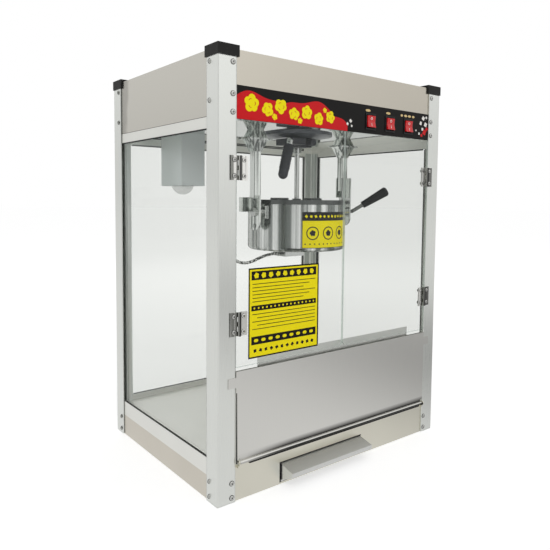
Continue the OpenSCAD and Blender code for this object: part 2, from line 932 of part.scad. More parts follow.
// Right hanger, with the four-screw yoke above the bored plate
module hanger_right() {
    w = hanger_w / 2;
    color("silver") {
        hanger(pivot_z + right_tube_up, right_plate_x - eps, pivot_z - right_plate_down,
               pivot_z + right_plate_up);
        translate([hanger_x, pivot_y, pivot_z]) {
            block([-w - yoke_t, -w - yoke_t, yoke_down], [w + eps, -w, right_plate_up]);
            block([-w - yoke_t, w, yoke_down], [w + eps, w + yoke_t, right_plate_up]);
        }
        plate_screws(right_plate_x, right_head, [for (s = [-1, 1], z = right_spots) [s * spot_y, z]]);
    }
}

// ---------------------------------------------------------------- drive

// Dark dished cover under the ceiling
module drive_cover() {
    t = 1.2;
    flat_r = cover_r - 28;
    rim_low = ceiling_z - 3.5;
    color("dimgray") translate([0, kettle_y, 0]) rotate_extrude($fn = 96) polygon([
        [spindle_d / 2 + 2, cover_z], [flat_r, cover_z], [cover_r, rim_low],
        [cover_r, ceiling_z], [cover_r - t, ceiling_z], [cover_r - t, rim_low + t],
        [flat_r, cover_z + t], [spindle_d / 2 + 2, cover_z + t]
    ]);
}

// Gear motor on top of the ceiling, bored for the spindle
module gear_motor() {
    z0 = ceiling_z + sheet_t;
    color("darkslategray") translate([0, kettle_y, z0]) difference() {
        union() {
            block([-motor_w / 2, -motor_d / 2, 0], [motor_w / 2, motor_d / 2, motor_h]);
            translate([-motor_can_x, 0, motor_h - eps]) cylinder(d = motor_can_d, h = motor_can_h);
            block([-motor_foot_w / 2, -motor_foot_d / 2, 0],
                  [motor_foot_w / 2, motor_foot_d / 2, motor_foot_h]);
        }
        translate([0, 0, -1]) cylinder(d = spindle_hole, h = spindle_in + 2);
    }
}

// Block under the cover: spindle bearing, a bush at the front and the arm of the lever pin
module drive_block() {
    z1 = cover_z;
    pin_x = lever_x + lever_t / 2 + gap;
    color("dimgray") difference() {
        union() {
            block([-block_left, kettle_y - block_front, block_z],
                  [block_right, kettle_y + block_back, z1]);
            block([pin_x, lever_y - 6, block_z + 2], [-block_left + eps, kettle_y + 2, block_z + 14]);
            rod_y(bush_d, kettle_y - block_front - bush_l, kettle_y - block_front + 1, bush_x,
                  block_z + block_h / 2);
        }
        translate([0, kettle_y, block_z - 1]) cylinder(d = spindle_hole, h = block_h + 2);
        rod_x(lever_pin_d + 0.1, pin_x - 1, pin_x + lever_pin_cut, lever_y, lever_z);
    }
}

// Output spindle of the gear motor with the slotted sleeve at its lower end
module drive_coupling() {
    z1 = ceiling_z + sheet_t + spindle_in;
    color("silver") translate([0, kettle_y, 0]) difference() {
        union() {
            translate([0, 0, sleeve_z]) cylinder(d = sleeve_d, h = sleeve_h);
            translate([0, 0, sleeve_z + 1]) cylinder(d = spindle_d, h = z1 - sleeve_z - 1);
        }
        block([-slot_w / 2, -sleeve_d, sleeve_z - 1], [slot_w / 2, sleeve_d, sleeve_z + slot_h]);
    }
}

// Steel lever on a pin in the drive block
module release_lever() {
    t = lever_t / 2;
    color("gray") {
        rod_x(lever_pin_d, lever_x - t - 3, lever_x + t + gap + lever_pin_l, lever_y, lever_z);
        rod_x(lever_boss, lever_x - t, lever_x + t, lever_y, lever_z);
        translate([lever_x, lever_y, lever_z]) rotate([0, lever_lean, 0])
            block([-t, -lever_boss / 2, -lever_l], [t, lever_boss / 2, 0]);
    }
}

// Ribbed grip pushed over the lever
module release_grip() {
    r = grip_d / 2;
    t = lever_t / 2;
    color("darkslategray") translate([lever_x, lever_y, lever_z]) rotate([0, lever_lean, 0]) {
        difference() {
            union() {
                translate([0, 0, -8 - grip_l + r]) cylinder(r = r - 1, h = grip_l - r);
                translate([0, 0, -8 - grip_l + r]) sphere(r = r - 1);
                for (k = [0 : 9])
                    translate([0, 0, -11 - k * 5]) cylinder(r = r, h = 2);
            }
            block([-t, -lever_boss / 2, -lever_l], [t, lever_boss / 2, 1]);
        }
    }
}

// ---------------------------------------------------------------- kettle

// Half section of a round pot with a rounded foot
module pot_section(r, z0, z1, round) {
    translate([0, z0]) square([r - round, z1 - z0]);
    translate([0, z0 + round]) square([r, z1 - z0 - round]);
    translate([r - round, z0 + round]) circle(r = round);
}

// Outer skin of the kettle, with the holes of its terminal box
module kettle_shell() {
    w = kettle_wall;
    color("silver") translate([0, kettle_y, 0]) rotate_extrude($fn = 128) difference() {
        pot_section(kettle_r, foot_z, rim_z, kettle_round);
        pot_section(kettle_r - w, foot_z + w, rim_z + 1, kettle_round - w);
        translate([-far, -far]) square([far, 2 * far]);
    }
}

// Cooking pan inside the skin, with its rim laid over the edge of the skin
module kettle_pan() {
    w = kettle_wall;
    color("gainsboro") translate([0, kettle_y, 0]) rotate_extrude($fn = 128) difference() {
        pot_section(pan_r, pan_z, rim_z, kettle_round);
        pot_section(pan_r - w, pan_z + w, rim_z + 1, kettle_round - w);
        translate([-far, -far]) square([far, 2 * far]);
    }
}

// Cast heating plate with its ring element, clamped between skin and pan
module heating_plate() {
    z0 = foot_z + kettle_wall;
    color("dimgray") translate([0, kettle_y, z0]) {
        cylinder(r = kettle_r - kettle_round - 10, h = pan_rise - 5);
        translate([0, 0, pan_rise - 5 - eps]) difference() {
            cylinder(r = kettle_r - kettle_round - 14, h = 5 + eps);
            translate([0, 0, -1]) cylinder(r = kettle_r - kettle_round - 30, h = 7);
        }
    }
}

// Steel box under the kettle where the lead enters
module kettle_terminal_box() {
    color("silver") {
        block([-box_left, kettle_y - box_half_d, foot_z - box_h],
              [box_right, kettle_y + box_half_d, foot_z]);
        rod_x(box_gland_d, -box_left - box_gland_l, -box_left + eps, lead_y, lead_points[0][2]);
    }
}

// Hubs and pins on both sides of the kettle
module kettle_trunnions() {
    color("gray") {
        mirror([1, 0, 0]) trunnion(left_plate_x);
        trunnion(right_plate_x);
    }
}

// Hub on a pad, pin through the hanger's plate at plate_x and nut beyond it
module trunnion(plate_x) {
    nut_x = plate_x + plate_t + gap;
    difference() {
        union() {
            rod_x(2 * hub_r, kettle_r - 3, plate_x - gap, pivot_y, pivot_z);
            rod_x(trunnion_d, plate_x - gap - 1, nut_x + nut_l, pivot_y, pivot_z);
            rod_x(2 * hub_r, nut_x, nut_x + nut_l, pivot_y, pivot_z);
            block([kettle_r - 6, pivot_y - pad_w, pivot_z - pad_down],
                  [kettle_r + 2, pivot_y + pad_w, pivot_z + pad_up]);
        }
        translate([0, kettle_y, foot_z]) cylinder(r = kettle_r, h = kettle_h + 1, $fn = 128);
    }
}

// Bar across the kettle that carries the shaft bearing and the lid hinges
module kettle_bridge() {
    w = bridge_w / 2;
    x1 = lid_r - 1;
    z1 = lid_top - 0.3;
    color("dimgray") translate([0, kettle_y, 0]) difference() {
        union() {
            intersection() {
                difference() {
                    block([-x1, -w, rim_z], [x1, w, z1]);
                    block([-x1 + 10, -w + 1.5, rim_z - 1], [x1 - 10, w - 1.5, z1 - 1.5]);
                }
                translate([0, 0, rim_z - 1]) cylinder(r = lid_r, h = 20, $fn = 128);
            }
            translate([0, 0, rim_z + 1]) cylinder(d = shaft_d + 8, h = lid_h + 2);
            for (s = [-1, 1], side = [-1, 1]) scale([side, s, 1]) {
                for (e = [-1, 1]) translate([lid_barrel_x + e * (lid_barrel_l / 2 + 1.2), 0, 0])
                    plate_yz(-0.75, 0.75) union() {
                        translate([lid_hinge_y, lid_hinge_z]) circle(r = lid_barrel_r, $fn = 32);
                        translate([w - 1, z1 - 4])
                            square([lid_hinge_y - w + 1, lid_hinge_z - z1 + 4]);
                    }
                rod_x(lid_pin_d, lid_barrel_x - lid_barrel_l / 2 - 1.5,
                      lid_barrel_x + lid_barrel_l / 2 + 1.5, lid_hinge_y, lid_hinge_z);
            }
        }
        translate([0, 0, rim_z - 1]) cylinder(d = shaft_d + 0.1, h = lid_h + 10);
    }
}

// Half-moon lid at the rear, with a rim and two hinge barrels
module half_lid() {
    difference() {
        union() {
            difference() {
                translate([0, 0, lid_z]) cylinder(r = lid_r, h = lid_h, $fn = 128);
                translate([0, 0, lid_z - 1]) cylinder(r = lid_r - lid_t, h = lid_h - lid_t + 1, $fn = 128);
                block([-far, -far, lid_z - 1], [far, lid_cut, lid_top + 1]);
            }
            for (side = [-1, 1])
                rod_x(2 * lid_barrel_r, side * lid_barrel_x - lid_barrel_l / 2,
                      side * lid_barrel_x + lid_barrel_l / 2, lid_hinge_y, lid_hinge_z);
        }
        rod_x(lid_pin_d + 0.1, -far, far, lid_hinge_y, lid_hinge_z);
        for (side = [-1, 1], e = [-1, 1])
            translate([side * lid_barrel_x + e * (lid_barrel_l / 2 + 1.2), 0, 0])
                block([-1.15, 0, lid_z - 1], [1.15, lid_hinge_y + lid_barrel_r + 1, lid_top + 5]);
        cylinder(d = shaft_d + 9, h = far);
    }
}

module lid_rear() {
    color("dimgray") translate([0, kettle_y, 0]) half_lid();
}

module lid_front() {
    color("dimgray") translate([0, kettle_y, 0]) mirror([0, 1, 0]) half_lid();
}

// Turns local +Z into the direction of the dump handle
module along_handle() {
    translate([handle_bend_x, pivot_y, pivot_z]) rotate([0, 0, -handle_turn])
        rotate([0, 90 - handle_rise, 0]) children();
}

// Bent rod from the right trunnion to the grip
module dump_rod() {
    color("gray") {
        rod_x(rod_d, pin_end, handle_bend_x, pivot_y, pivot_z);
        translate([handle_bend_x, pivot_y, pivot_z]) sphere(d = rod_d);
        along_handle() cylinder(d = rod_d, h = rod_l);
    }
}

// Tapered grip on the dump rod
module dump_grip() {
    z0 = rod_l - 20;
    r = dump_grip_d / 2;
    color("dimgray") along_handle() difference() {
        union() {
            translate([0, 0, z0]) cylinder(d1 = dump_grip_d * 0.72, d2 = dump_grip_d, h = dump_grip_l);
            translate([0, 0, z0 + dump_grip_l - eps]) cylinder(r1 = r, r2 = r - 3, h = 3);
        }
        translate([0, 0, z0 - 1]) cylinder(d = rod_d, h = 21);
    }
}

// Stirrer shaft with its tongue at the top and the arms just above the pan
module stirrer() {
    color("silver") translate([0, kettle_y, 0]) {
        translate([0, 0, stir_z]) cylinder(d = shaft_d, h = shaft_top - stir_z);
        intersection() {
            block([-tongue_w / 2, -tongue_l / 2, shaft_top - 1], [tongue_w / 2, tongue_l / 2, tongue_top]);
            translate([0, 0, shaft_top - 1]) cylinder(d = shaft_d, h = far);
        }
        block([-stir_arm, -4, stir_z], [stir_arm, 4, stir_z + 5]);
        block([-4, -stir_arm * 0.6, stir_z], [4, stir_arm * 0.6, stir_z + 5]);
    }
}

// ---------------------------------------------------------------- switches

// Three bezels behind the sign panel
module switch_frames() {
    w = rocker_w / 2;
    h = rocker_h / 2;
    f = rocker_frame;
    lip = rocker_frame_lip;
    color("black") for (i = [-1 : 1]) translate([rocker_x + i * rocker_pitch, 0, rocker_z]) difference() {
        union() {
            block([-w - f, -in_y - lip, -h - f], [w + f, -in_y + rocker_frame_d, h + f]);
            block([-w - f - lip, -in_y - lip, -h - f - lip], [w + f + lip, -in_y - gap + eps, h + f + lip]);
        }
        block([-w - rocker_gap, -in_y - 2, -h - rocker_gap],
              [w + rocker_gap, -in_y + rocker_bore_d, h + rocker_gap]);
        rod_x(3.1, -w - f + 0.5, w + f - 0.5, rocker_pivot_y, 0);
    }
}

// One rocker, turned on a pin through its bezel
module rocker(i) {
    w = rocker_w / 2;
    h = rocker_h / 2 - 1.3;
    dy = 3.2;
    color("red") translate([rocker_x + i * rocker_pitch, rocker_pivot_y, rocker_z]) {
        plate_yz(-w, w) polygon([
            [-9.5, -h], [-6.8, 0], [-8.2, h], [dy, h * 0.9], [dy + 3, 0], [dy, -h * 0.9]
        ]);
        rod_x(3, -w - rocker_frame + 0.8, w + rocker_frame - 0.8, 0, 0);
    }
}

module rocker_1() {
    rocker(-1);
}

module rocker_2() {
    rocker(0);
}

module rocker_3() {
    rocker(1);
}

// ---------------------------------------------------------------- lead and inlet

// Gland under the ceiling where the kettle lead ends
module lead_socket() {
    end = lead_points[len(lead_points) - 1];
    color("gray") translate([end[0], end[1], end[2]]) {
        cylinder(d = 14, h = ceiling_z - end[2]);
        translate([0, 0, ceiling_z - end[2] - 8]) cylinder(d = 24, h = 8, $fn = 6);
    }
}

// Cable gland at the lower left of the rear skirt, bored for the mains lead
module mains_inlet() {
    color("black") translate([inlet_x, 0, inlet_z]) difference() {
        union() {
            rod_y(inlet_d, in_y - inlet_l, in_y + eps, 0, 0);
            rod_y(inlet_d + 6, in_y, in_y + 2, 0, 0);
        }
        rod_y(inlet_bore, in_y - inlet_l - 1, in_y + 3, 0, 0);
    }
}

// Smooth point between b and c of four neighbours
function smooth(a, b, c, d, t) =
    0.5 * (2 * b + (c - a) * t + (2 * a - 5 * b + 4 * c - d) * t * t
        + (3 * b - a - 3 * c + d) * t * t * t);

// The points with extra ones between them
function refined(p, n) = let (last = len(p) - 1) [
    for (i = [0 : last - 1], k = [0 : n - 1])
        smooth(p[max(i - 1, 0)], p[i], p[i + 1], p[min(i + 2, last)], k / n),
    p[last]
];

// Tube of even thickness along points that lie in one plane of constant Y
module tube_in_plane(path, d, sides) {
    last = len(path) - 1;
    rings = [for (i = [0 : last]) let (
        t = path[min(i + 1, last)] - path[max(i - 1, 0)],
        side = [t[2], 0, -t[0]] / norm(t)
    ) [for (k = [0 : sides - 1])
        path[i] + d / 2 * (cos(360 * k / sides) * side + sin(360 * k / sides) * [0, 1, 0])]];
    points = [for (ring = rings, p = ring) p];
    walls = [for (i = [0 : last - 1], k = [0 : sides - 1]) let (
        a = i * sides + k, b = i * sides + (k + 1) % sides
    ) [a, b, b + sides, a + sides]];
    start = [for (k = [sides - 1 : -1 : 0]) k];
    end = [for (k = [0 : sides - 1]) last * sides + k];
    polyhedron(points, concat([start], [end], walls));
}

// Braided lead that hangs from the kettle and climbs to the ceiling
module kettle_lead() {
    color("gray") tube_in_plane(refined(lead_points, lead_steps), lead_d, lead_sides);
}

// ---------------------------------------------------------------- assembly

post_front_left();
post_front_right();
post_rear_left();
post_rear_right();
corner_caps();
roof_panel();
hood_panels();
front_fascia();
sign_panel();
ceiling_panel();
glass_rails();
base_front_plate();
base_skirts();
floor_pan();
bottom_plate();
side_glass_left();
side_glass_right();
rear_glass();
frame_screws();
hinge_post_leaves();
hinge_pins();
front_cross_rail();
drawer_runners();
lamp_housing();
lamp_socket();
lamp_bulb();
hanger_left();
hanger_right();
drive_cover();
gear_motor();
drive_block();
switch_frames();
lead_socket();
mains_inlet();
drive_coupling();
release_lever();
release_grip();
door_left_glass();
door_left_leaves();
door_right_glass();
door_right_leaves();
serving_flap();
drawer_tray();
drawer_pull();
kettle_shell();
kettle_pan();
heating_plate();
kettle_terminal_box();
kettle_trunnions();
kettle_bridge();
lid_front();
lid_rear();
dump_rod();
dump_grip();
stirrer();
rocker_1();
rocker_2();
rocker_3();
kettle_lead();
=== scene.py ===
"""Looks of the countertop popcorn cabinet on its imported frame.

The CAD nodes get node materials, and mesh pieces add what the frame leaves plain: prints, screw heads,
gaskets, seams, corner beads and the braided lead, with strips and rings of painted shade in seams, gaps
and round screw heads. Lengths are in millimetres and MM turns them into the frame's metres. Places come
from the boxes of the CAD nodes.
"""

import math
import random

import bmesh
import bpy
from mathutils import Matrix, Vector


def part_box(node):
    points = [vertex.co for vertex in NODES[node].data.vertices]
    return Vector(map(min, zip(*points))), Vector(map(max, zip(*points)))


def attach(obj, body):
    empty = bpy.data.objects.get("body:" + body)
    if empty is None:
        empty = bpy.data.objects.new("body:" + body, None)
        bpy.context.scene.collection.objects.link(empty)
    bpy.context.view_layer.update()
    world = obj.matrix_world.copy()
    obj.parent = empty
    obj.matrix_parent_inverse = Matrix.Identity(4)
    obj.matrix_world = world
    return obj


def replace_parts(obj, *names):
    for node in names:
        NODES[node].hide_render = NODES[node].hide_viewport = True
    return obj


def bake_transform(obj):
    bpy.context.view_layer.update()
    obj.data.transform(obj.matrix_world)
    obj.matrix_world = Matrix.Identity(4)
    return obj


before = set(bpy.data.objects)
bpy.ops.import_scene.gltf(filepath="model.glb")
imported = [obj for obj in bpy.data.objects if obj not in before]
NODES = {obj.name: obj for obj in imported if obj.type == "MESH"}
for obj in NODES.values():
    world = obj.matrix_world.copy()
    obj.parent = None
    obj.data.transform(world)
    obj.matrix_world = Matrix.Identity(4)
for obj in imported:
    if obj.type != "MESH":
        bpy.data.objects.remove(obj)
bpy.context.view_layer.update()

random.seed(11)
MM = 0.001
BLACK = (0, 0, 0, 1)
WHITE = (1, 1, 1, 1)

# ---- camera

# Fitted to the cabinet's corners in the photograph: metres, degrees and pixels.
CAM_AT = (-0.765581, -0.997944, 0.509017)
CAM_AZ, CAM_EL, CAM_ROLL = (math.radians(a) for a in (38.621, -3.896, 0.569))
FOCAL_PX, IMAGE_PX, CENTRE_PX = 577.123, 550, (288.258, 239.092)


def make_camera():
    """The camera that took the photograph."""
    level = math.cos(CAM_EL)
    ahead = Vector((math.sin(CAM_AZ) * level, math.cos(CAM_AZ) * level, math.sin(CAM_EL)))
    flat = Vector((math.cos(CAM_AZ), -math.sin(CAM_AZ), 0))
    up = flat.cross(ahead)
    right = math.cos(CAM_ROLL) * flat + math.sin(CAM_ROLL) * up
    top = -math.sin(CAM_ROLL) * flat + math.cos(CAM_ROLL) * up
    data = bpy.data.cameras.new("camera")
    data.sensor_fit = "HORIZONTAL"
    data.sensor_width = 36
    data.lens = FOCAL_PX / IMAGE_PX * data.sensor_width
    data.shift_x = 0.5 - CENTRE_PX[0] / IMAGE_PX
    data.shift_y = CENTRE_PX[1] / IMAGE_PX - 0.5
    data.clip_start = 0.01
    cam = bpy.data.objects.new("camera", data)
    bpy.context.scene.collection.objects.link(cam)
    cam.matrix_world = Matrix.Translation(CAM_AT) @ Matrix((right, top, -ahead)).transposed().to_4x4()
    bpy.context.scene.camera = cam


make_camera()

# ---- places read from the frame


def in_mm(corners):
    """Two corners in millimetres, to one decimal."""
    return [[round(c / MM, 1) for c in corner] for corner in corners]


def box_mm(node):
    """Lowest and highest corners of a CAD node, in millimetres."""
    return in_mm(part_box(node))


def solids_of(node):
    """Lowest and highest corners of each separate solid of a CAD node, in metres."""
    mesh = NODES[node].data
    parent = list(range(len(mesh.vertices)))

    def root(i):
        while parent[i] != i:
            parent[i] = parent[parent[i]]
            i = parent[i]
        return i

    first_at = {}
    for v in mesh.vertices:
        first = first_at.setdefault(tuple(round(c, 6) for c in v.co), v.index)
        parent[root(v.index)] = root(first)
    for e in mesh.edges:
        a, b = (root(i) for i in e.vertices)
        parent[a] = b
    solids = {}
    for v in mesh.vertices:
        solids.setdefault(root(v.index), []).append(v.co)
    return [
        [Vector(end(p[i] for p in points) for i in range(3)) for end in (min, max)]
        for points in solids.values()
    ]


# Inner edges of the posts, outer face of the side sheets, and the plane of the sign, fascia and base plate.
(POST_X, POST_Y, _), _ = box_mm("post_rear_right")
(_, _, HOOD_FOOT), (SIDE_X, _, ROOF_Z) = box_mm("hood_panels")
(_, FRONT_Y, SIGN_FOOT), _ = box_mm("sign_panel")

# Panes, and the edges of the rails that hold them.
(_, DOOR_Y, _), _ = box_mm("door_left_glass")
_, (SIDE_PANE_X, _, _) = box_mm("side_glass_right")
REAR_PANE_LOW, REAR_PANE_HIGH = box_mm("rear_glass")
RAILS = [in_mm(box) for box in solids_of("glass_rails")]
RAIL_TOP, RAIL_FOOT = min(hi[2] for _, hi in RAILS), max(lo[2] for lo, _ in RAILS)

# Hinge pins and leaves, and the studs that clamp the leaves to the doors: their height and radius, and
# their distances from the middle of the cabinet and of the hinge.
PINS = [in_mm(box) for box in solids_of("hinge_pins")]
HINGE_X = max((lo[0] + hi[0]) / 2 for lo, hi in PINS)
HINGE_ZS = sorted({(lo[2] + hi[2]) / 2 for lo, hi in PINS})
HINGE_HALF = (PINS[0][1][2] - PINS[0][0][2]) / 2
(_, HINGE_FRONT, _), (LEAF_END, _, _) = box_mm("hinge_post_leaves")
LEAF_THICK = 1.2
STUD_HIGH, STUD_R, STUD_X, STUD_RISE = 1.4, 3.15, 230.5, 13.0

# The rolled hem of the serving flap.
(_, _, HEM_FOOT), _ = box_mm("serving_flap")
HEM_TOP = HEM_FOOT + 6.0

# The kettle's wall and foot.
(_, KETTLE_FRONT, KETTLE_FOOT), (_, KETTLE_BACK, _) = box_mm("kettle_shell")
KETTLE_Y, KETTLE_R = (KETTLE_FRONT + KETTLE_BACK) / 2, (KETTLE_BACK - KETTLE_FRONT) / 2

# ---- node helpers


def srgb(r, g, b):
    """A colour given as 0-255 sRGB, as linear RGBA."""
    def lin(v):
        v /= 255
        return v / 12.92 if v <= 0.04045 else ((v + 0.055) / 1.055) ** 2.4

    return (lin(r), lin(g), lin(b), 1.0)


def scaled(colour, k):
    """A colour made k times as bright."""
    return tuple(min(1.0, c * k) for c in colour[:3]) + (1.0,)


class Nodes:
    """A node tree under construction."""

    def __init__(self, tree, output):
        self.tree = tree
        self.tree.nodes.clear()
        self.out = self.node(output)

    def node(self, kind, **props):
        n = self.tree.nodes.new(kind)
        for key, value in props.items():
            setattr(n, key, value)
        return n

    def link(self, a, b):
        self.tree.links.new(a, b)

    def put(self, socket, value):
        """Feed a socket with another socket or with a plain value."""
        if hasattr(value, "is_output"):
            self.link(value, socket)
        else:
            socket.default_value = value

    def coords(self, scale=(1, 1, 1), offset=(0, 0, 0)):
        """Object coordinates in metres, scaled and shifted."""
        mapped = self.node("ShaderNodeMapping")
        mapped.inputs["Scale"].default_value = scale
        mapped.inputs["Location"].default_value = offset
        self.link(self.node("ShaderNodeTexCoord").outputs["Object"], mapped.inputs["Vector"])
        return mapped.outputs[0]

    def normal(self):
        return self.node("ShaderNodeTexCoord").outputs["Normal"]

    def parts(self, vector):
        """The x, y and z of a vector."""
        n = self.node("ShaderNodeSeparateXYZ")
        self.link(vector, n.inputs[0])
        return n.outputs

    def noise(self, vec, scale, detail=2.0, rough=0.5):
        n = self.node("ShaderNodeTexNoise")
        self.link(vec, n.inputs["Vector"])
        n.inputs["Scale"].default_value = scale
        n.inputs["Detail"].default_value = detail
        n.inputs["Roughness"].default_value = rough
        return n.outputs["Fac"]

    def math(self, op, a, b=0.0, c=0.0):
        n = self.node("ShaderNodeMath", operation=op)
        for socket, value in zip(n.inputs, (a, b, c)):
            self.put(socket, value)
        return n.outputs[0]

    def span(self, value, low, high, to_low=0.0, to_high=1.0, smooth=False):
        """Maps low to high onto to_low to to_high, and holds the ends."""
        n = self.node("ShaderNodeMapRange", interpolation_type="SMOOTHSTEP" if smooth else "LINEAR")
        self.put(n.inputs["Value"], value)
        for key, v in (("From Min", low), ("From Max", high), ("To Min", to_low), ("To Max", to_high)):
            n.inputs[key].default_value = v
        return n.outputs[0]

    def mix(self, fac, a, b, how="MIX"):
        n = self.node("ShaderNodeMix", data_type="RGBA", blend_type=how)
        self.put(n.inputs[0], fac)
        self.put(n.inputs[6], a)
        self.put(n.inputs[7], b)
        return n.outputs[2]

    def varied(self, noise, colour, share, low=0.3, high=0.7):
        """A colour that noise makes darker and lighter by a share."""
        return self.mix(self.span(noise, low, high), scaled(colour, 1 - share), scaled(colour, 1 + share))

    def bump(self, height, strength, distance=0.0002):
        n = self.node("ShaderNodeBump")
        n.inputs["Strength"].default_value = strength
        n.inputs["Distance"].default_value = distance
        self.link(height, n.inputs["Height"])
        return n.outputs[0]

    def principled(self, colour, rough, metallic=0.0, normal=None, **extra):
        p = self.node("ShaderNodeBsdfPrincipled")
        self.put(p.inputs["Base Color"], colour)
        self.put(p.inputs["Roughness"], rough)
        p.inputs["Metallic"].default_value = metallic
        if normal is not None:
            self.link(normal, p.inputs["Normal"])
        for key, value in extra.items():
            self.put(p.inputs[key.replace("_", " ")], value)
        return p

    def clear(self, colour=WHITE):
        n = self.node("ShaderNodeBsdfTransparent")
        n.inputs["Color"].default_value = colour
        return n

    def either(self, share, first, second):
        """A mix of two shaders: the first at 0, the second at 1."""
        n = self.node("ShaderNodeMixShader")
        self.put(n.inputs[0], share)
        self.link(first.outputs[0], n.inputs[1])
        self.link(second.outputs[0], n.inputs[2])
        return n

    def finish(self, shader):
        self.link(shader.outputs[0], self.out.inputs["Surface"])


class Material(Nodes):
    """A material under construction."""

    def __init__(self, name):
        self.mat = bpy.data.materials.new(name)
        self.mat.use_nodes = True
        super().__init__(self.mat.node_tree, "ShaderNodeOutputMaterial")

    def done(self, shader):
        self.finish(shader)
        return self.mat


# ---- materials

LINES = 1400  # scale of the fine rolling lines of sheet metal


def metal(name, colour, rough, grain=(1, 1, 1), streak=0.05, cloud=0.04, bump=0.04, spread=0.08,
          corner=0.0):
    """Brushed sheet metal: fine lines along the axis whose grain is small, and broad soft clouds.

    A corner is the radius in millimetres to which sharp edges look rounded.
    """
    m = Material(name)
    lines = m.noise(m.coords(grain), LINES, 3, 0.7)
    clouds = m.noise(m.coords(), 7, 2)
    tone = m.varied(lines, colour, streak)
    tone = m.mix(m.span(clouds, 0.35, 0.65), tone, scaled(WHITE, 1 - cloud), "MULTIPLY")
    normal = m.bump(lines, bump)
    if corner:
        rounded = m.node("ShaderNodeBevel", samples=6)
        rounded.inputs["Radius"].default_value = corner * MM
        m.link(rounded.outputs[0], normal.node.inputs["Normal"])
    gloss = m.span(lines, 0.3, 0.7, rough - spread / 2, rough + spread / 2)
    return m.done(m.principled(tone, gloss, 1.0, normal))


def moulded(name, colour, rough, grain=2600, bump=0.12, variation=0.08, coat=0.0, specular=0.3):
    """Moulded plastic or paint with a fine leathery grain."""
    m = Material(name)
    pits = m.noise(m.coords(), grain, 2, 0.6)
    tone = m.varied(m.noise(m.coords(), 45, 3), colour, variation, 0.35, 0.65)
    return m.done(m.principled(
        tone, m.span(pits, 0.3, 0.7, rough - 0.05, rough + 0.05), 0.0, m.bump(pits, bump, 0.0001),
        Coat_Weight=coat, Specular_IOR_Level=specular,
    ))


def printed(name, colour, rough, specular=0.15):
    """Ink on film."""
    m = Material(name)
    tooth = m.noise(m.coords(), 900, 2)
    return m.done(m.principled(
        m.varied(tooth, colour, 0.05), m.span(tooth, 0.3, 0.7, rough - 0.04, rough + 0.04),
        Specular_IOR_Level=specular,
    ))


def glass(name, across, tint=(0.990, 0.992, 0.989, 1)):
    """Float glass: clear through its faces across the axis 0, 1 or 2, greenish at its cut edges."""
    m = Material(name)
    facing = m.node("ShaderNodeLayerWeight")
    facing.inputs["Blend"].default_value = 0.5
    grazing = m.math("POWER", facing.outputs["Facing"], 5.0)
    dust = m.noise(m.coords(), 30, 3, 0.6)
    gloss = m.principled(
        srgb(232, 238, 235), m.span(dust, 0.3, 0.7, 0.02, 0.05), 1.0, Specular_IOR_Level=1.0,
    )
    face = m.either(m.math("MULTIPLY_ADD", grazing, 0.9, 0.02), m.clear(tint), gloss)
    cut = m.either(0.4, m.clear(srgb(228, 236, 231)), m.principled(srgb(236, 242, 238), 0.25))
    is_edge = m.math("LESS_THAN", m.math("ABSOLUTE", m.parts(m.normal())[across]), 0.5)
    return m.done(m.either(is_edge, face, cut))


def kettle_steel():
    """Kettle steel: upright light and dark streaks of many widths round its wall, painted reflections of
    the surroundings, over a fine real grain.
    """
    m = Material("kettle_steel")
    upright = m.coords((1, 1, 0.01), (0, -KETTLE_Y * MM, 0))
    wide = m.noise(upright, 85, 2, 0.5)
    thin = m.noise(upright, 190, 2, 0.5)
    fine = m.noise(m.coords((1, 1, 0.1)), 1500, 2, 0.6)
    # The streaks of tone are painted reflections; only the fine noise is grain.
    tone = m.mix(m.span(wide, 0.38, 0.60, smooth=True), srgb(124, 129, 125), srgb(252, 254, 251))
    tone = m.mix(m.span(thin, 0.34, 0.64, 0.0, 0.45, smooth=True), tone, srgb(136, 140, 137))
    return m.done(m.principled(tone, m.span(fine, 0.3, 0.7, 0.15, 0.27), 1.0, m.bump(fine, 0.05)))


def streaked(name, dark, light, scale, rough, painted_shade_right=False):
    """Bright steel with upright streaks; optionally with painted shade, darker towards the right and much
    darker past the right hinges.
    """
    m = Material(name)
    wide = m.noise(m.coords((1, 1, 0.01)), scale, 2, 0.6)
    tone = m.mix(m.span(wide, 0.40, 0.56, smooth=True), dark, light)
    if painted_shade_right:
        # Painted shade: darker towards +X, and much darker past the right hinges.
        x = m.parts(m.coords())[0]
        shade = m.math(
            "MULTIPLY", m.span(x, -200 * MM, 200 * MM, 1.0, 0.8),
            m.span(x, (HINGE_X + 0.5) * MM, (HINGE_X + 4.5) * MM, 1.0, 0.3),
        )
        tone = m.mix(shade, BLACK, tone)
    return m.done(m.principled(tone, rough, 1.0))


def hood_steel():
    """Smooth sheet; on the side sheets a soft darker band towards the rear posts is a painted reflection.
    """
    m = Material("hood_steel")
    lines = m.noise(m.coords((0.02, 0.02, 1)), LINES, 3, 0.7)
    x, y, z = m.parts(m.coords())
    lean = m.span(z, HOOD_FOOT * MM, (ROOF_Z - 4) * MM, 0.0, 13 * MM)
    wave = m.span(m.noise(m.coords(), 22, 2), 0.3, 0.7, -4 * MM, 4 * MM)
    across = m.math("ADD", m.math("SUBTRACT", y, wave), lean)
    # Painted reflection: the side sheets darken towards the rear posts, along a wavy line that leans with
    # height.
    painted_reflection_band = m.span(across, (POST_Y - 32) * MM, (POST_Y - 13) * MM, smooth=True)
    on_side = m.math("GREATER_THAN", m.math("ABSOLUTE", x), (SIDE_X - 7.5) * MM)
    below_roof = m.math("LESS_THAN", z, (ROOF_Z - 0.5) * MM)
    painted_reflection_band = m.math("MULTIPLY", painted_reflection_band, m.math("MULTIPLY", on_side, below_roof))
    sheet = m.varied(lines, srgb(213, 210, 201), 0.003)
    tone = m.mix(m.span(painted_reflection_band, 0.0, 1.0, 1.0, 0.68), BLACK, sheet)
    return m.done(m.principled(tone, m.span(lines, 0.3, 0.7, 0.254, 0.266), 1.0, m.bump(lines, 0.0015)))


